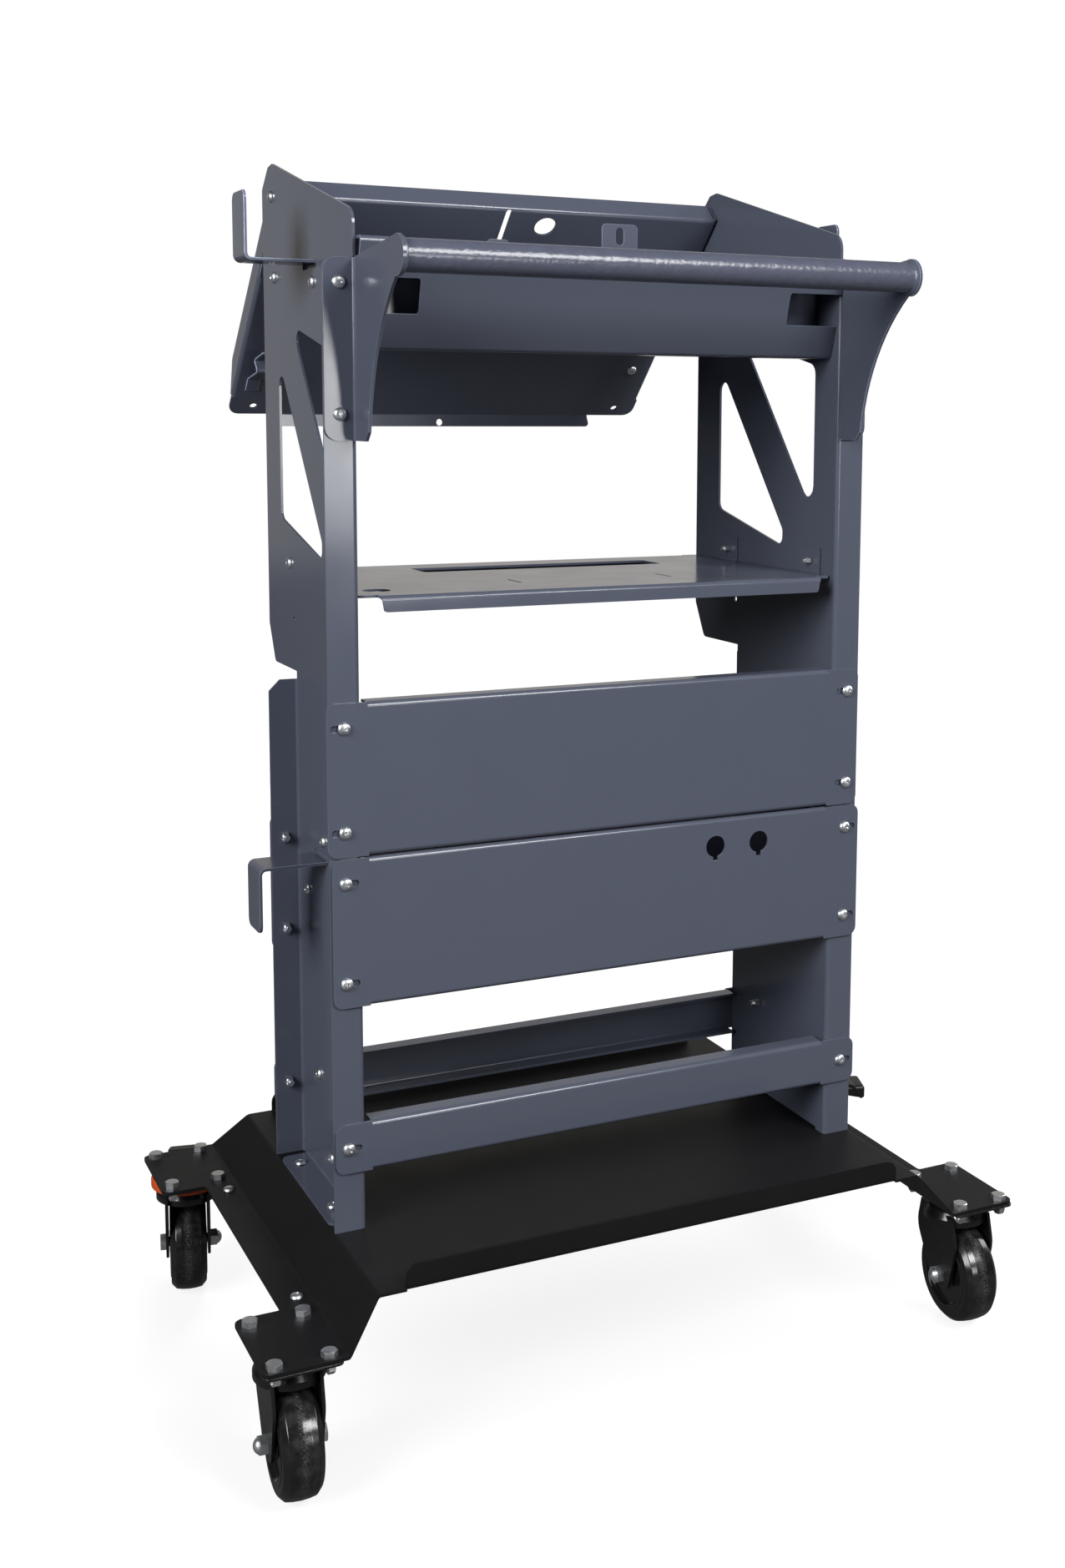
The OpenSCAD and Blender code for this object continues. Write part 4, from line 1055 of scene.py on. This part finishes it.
class DressCasters(CartOperator, bpy.types.Operator):
    """Round and lacquer the casters' plates, forks, kingpins, axles and brake parts"""

    bl_idname = "cart.dress_casters"
    bl_label = "Casters"

    def execute(self, context):
        edge = context.scene.cart_sheet_work.edge
        for name in CASTERS:
            dressed("caster_plate_" + name, edge)
            dressed("fork_" + name, 1.2 * edge)
            dressed("axle_" + name, 0.5 * edge, smooth=30)
        for name in BRAKED_CASTERS:
            self.lock_ring("lock_ring_" + name)
            dressed("brake_pedal_" + name, 1.6 * edge, reshape=lambda bm: self.add_toe(bm, name))
            dressed("pedal_pins_" + name, 0.8 * edge)
        dressed("kingpins", 0.6 * edge)
        return {"FINISHED"}

    def add_toe(self, bm, name):
        """Adds the thick moulded toe at the end of a brake pedal."""
        sizes = bpy.context.scene.cart_wheels
        inset, drop, lift, corner = 13 * MM, 2 * MM, 6 * MM, 4 * MM
        places = {joint["name"]: Vector(joint["pos_m"]) for joint in frame["joints"]}
        pin = places["swivel_" + name]
        out = Vector((*(places["brake_" + name] - pin).xy, 0)).normalized()
        reach = max((v.co - pin).dot(out) for v in bm.verts)
        heights = [v.co.z for v in bm.verts]
        middle = (min(heights) + max(heights)) / 2
        toe = bmesh.new()
        bmesh.ops.create_cube(toe, size=1.0)
        bmesh.ops.scale(toe, vec=(sizes.toe_width, sizes.toe_depth, sizes.toe_height), verts=toe.verts)
        inner = [v for v in toe.verts if v.co.y < 0 and v.co.z < 0]
        bmesh.ops.translate(toe, vec=(0, 0, lift), verts=inner)
        bmesh.ops.bevel(
            toe, geom=toe.edges, offset=corner, segments=4, profile=0.5, affect="EDGES", material=-1
        )
        turn = Matrix.Rotation(math.atan2(-out.x, out.y), 4, "Z")
        seat = Vector((pin.x, pin.y, middle - drop)) + out * (reach - inset)
        bmesh.ops.transform(toe, matrix=Matrix.Translation(seat) @ turn, verts=toe.verts)
        bm.from_mesh(as_mesh(toe, "toe"))

    def lock_ring(self, node):
        """A moulded ring under the plate, with a skirt that hangs over the fork's crown."""
        sizes = bpy.context.scene.cart_wheels
        low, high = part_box(node)
        centre = Vector(((low.x + high.x) / 2, (low.y + high.y) / 2, high.z))
        radius = (high.x - low.x) / 2
        bottom = low.z - high.z
        outer, inside, bore = radius + sizes.ring_over, radius - 1 * MM, radius - 7 * MM
        hem = bottom - sizes.ring_skirt
        profile = [
            (bore, 0, 0),
            (outer - 1 * MM, 0, 0.8 * MM),
            (outer, -3 * MM, 1 * MM),
            (outer, hem, 1.4 * MM),
            (inside, hem, 0.5 * MM),
            (inside, bottom, 0.5 * MM),
            (bore, bottom, 0),
        ]
        bm = bmesh.new()
        spun(bm, rounded_profile(profile), Z_AXIS, centre, steps=64)
        piece(bm, node, smooth=40)


class BuildWheels(CartOperator, bpy.types.Operator):
    """Turn the four wheels, with a marked tread"""

    bl_idname = "cart.build_wheels"
    bl_label = "Wheels"

    def execute(self, context):
        sizes = context.scene.cart_wheels
        radius, half = sizes.wheel_radius, sizes.wheel_width / 2
        tread_depth = 6 * MM
        profile = rounded_profile(self.section(sizes, radius, half))
        joints = {joint["name"]: joint for joint in frame["joints"]}
        for name in CASTERS:
            spin = joints["spin_" + name]
            axis, centre = Vector(spin["axis"]).normalized(), Vector(spin["pos_m"])
            bm = bmesh.new()
            spun(bm, profile, axis, centre, sizes.around)
            tread = bm.verts.layers.float.new("tread")
            for vert in bm.verts:
                arm = vert.co - centre
                offset = arm.dot(axis)
                if (arm - axis * offset).length > radius - tread_depth:
                    vert[tread] = max(0.0, 1 - abs(offset) / half)
            piece(bm, "wheel_" + name, smooth=40)
        return {"FINISHED"}

    def section(self, sizes, radius, half):
        """Half a wheel's section, from the bore to the tread, and then back on its other side."""
        hub = sizes.hub_width / 2
        rim = sizes.rim_radius
        side = [
            (sizes.bore_radius, hub, 0),
            (sizes.hub_radius, hub, 1.2 * MM),
            (sizes.hub_radius + 1.5 * MM, half - 4 * MM, 2 * MM),
            (rim - 2 * MM, half - 4.5 * MM, 2 * MM),
            (rim, half, 1.2 * MM),
            (rim + 3.5 * MM, half, 0.8 * MM),
            (rim + 4.5 * MM, half - 0.8 * MM, 0.5 * MM),
            (radius - 7 * MM, half - 0.6 * MM, 5 * MM),
            (radius - 1.4 * MM, half - 6 * MM, 2 * MM),
            (radius - 0.4 * MM, half - 12 * MM, 8 * MM),
            (radius, 0.6 * MM, 0),
        ]
        return side + [(r, -offset, bend) for r, offset, bend in reversed(side)]


class SetStudio(CartOperator, bpy.types.Operator):
    """Set the pale floor, the white backdrop, the soft lights and the camera"""

    bl_idname = "cart.set_studio"
    bl_label = "Studio"

    def execute(self, context):
        settings = context.scene.cart_studio
        disc = bmesh.new()
        bmesh.ops.create_circle(disc, cap_ends=True, segments=64, radius=9)
        floor = bpy.data.objects.new("floor", as_mesh(disc, "floor"))
        context.scene.collection.objects.link(floor)
        floor.data.materials.append(studio_paper())
        context.scene.world = studio_room(settings)
        for name, place, aim, size, power, mirrored in LAMPS:
            self.lamp(name, place, aim, size, getattr(settings, power), mirrored)
        self.place_camera(context.scene, settings)
        context.scene.view_settings.view_transform = "Standard"
        return {"FINISHED"}

    def lamp(self, name, place, aim, size, power, mirrored):
        light = bpy.data.lights.new(name, "AREA")
        light.energy, light.shape = power, "RECTANGLE"
        light.size, light.size_y = size
        obj = bpy.data.objects.new(name, light)
        obj.location = place
        obj.rotation_mode = "QUATERNION"
        obj.rotation_quaternion = (Vector(aim) - Vector(place)).to_track_quat("-Z", "Y")
        obj.visible_camera = False
        obj.visible_glossy = mirrored
        bpy.context.scene.collection.objects.link(obj)

    def place_camera(self, scene, settings):
        """Stands the camera at the eye, with the photo's frame and centre."""
        yaw, pitch, roll = settings.yaw, settings.pitch, settings.roll
        level_forward = Vector((math.sin(yaw), math.cos(yaw), 0))
        forward = level_forward * math.cos(pitch) + Z_AXIS * math.sin(pitch)
        level = Vector((math.cos(yaw), -math.sin(yaw), 0))
        upright = level.cross(forward)
        right = level * math.cos(roll) + upright * math.sin(roll)
        up = upright * math.cos(roll) - level * math.sin(roll)
        camera = bpy.data.cameras.new("camera")
        obj = bpy.data.objects.new("camera", camera)
        scene.collection.objects.link(obj)
        turned = Matrix((right, up, -forward)).transposed().to_4x4()
        obj.matrix_world = Matrix.Translation(settings.eye) @ turned
        width, height = PHOTO
        camera.sensor_width = 36
        camera.lens = settings.focal * camera.sensor_width / height
        camera.shift_x = (width / 2 - settings.centre[0]) / height
        camera.shift_y = (settings.centre[1] - height / 2) / height
        camera.clip_start, camera.clip_end = 0.05, 50
        scene.camera = obj


class CartPanel(bpy.types.Panel):
    """Lists the cart's settings and steps"""

    bl_idname = "VIEW3D_PT_tool_cart"
    bl_label = "Tool cart"
    bl_space_type = "VIEW_3D"
    bl_region_type = "UI"
    bl_category = "Tool cart"

    def draw(self, context):
        for group in GROUPS:
            settings = getattr(context.scene, group)
            for name in settings.__annotations__:
                self.layout.prop(settings, name)
        for step in STEPS:
            self.layout.operator(step.bl_idname)


GROUPS = {
    "cart_finishes": CartFinishes,
    "cart_sheet_work": CartSheetWork,
    "cart_fasteners": CartFasteners,
    "cart_wheels": CartWheels,
    "cart_handle": CartHandle,
    "cart_studio": CartStudio,
}
STEPS = (
    MakeFinishes,
    DressFrame,
    DressBase,
    BuildHandle,
    BuildFasteners,
    DressCasters,
    BuildWheels,
    SetStudio,
)


def register():
    for cls in (*GROUPS.values(), *STEPS, CartPanel):
        bpy.utils.register_class(cls)
    for name, cls in GROUPS.items():
        setattr(bpy.types.Scene, name, PointerProperty(type=cls))


def unregister():
    for name in GROUPS:
        delattr(bpy.types.Scene, name)
    for cls in (CartPanel, *reversed(STEPS), *reversed(GROUPS.values())):
        bpy.utils.unregister_class(cls)


def main():
    register()
    bpy.ops.cart.make_finishes()
    bpy.ops.cart.dress_frame()
    bpy.ops.cart.dress_base()
    bpy.ops.cart.build_handle()
    bpy.ops.cart.build_fasteners()
    bpy.ops.cart.dress_casters()
    bpy.ops.cart.build_wheels()
    bpy.ops.cart.set_studio()


if __name__ == "__main__":
    main()
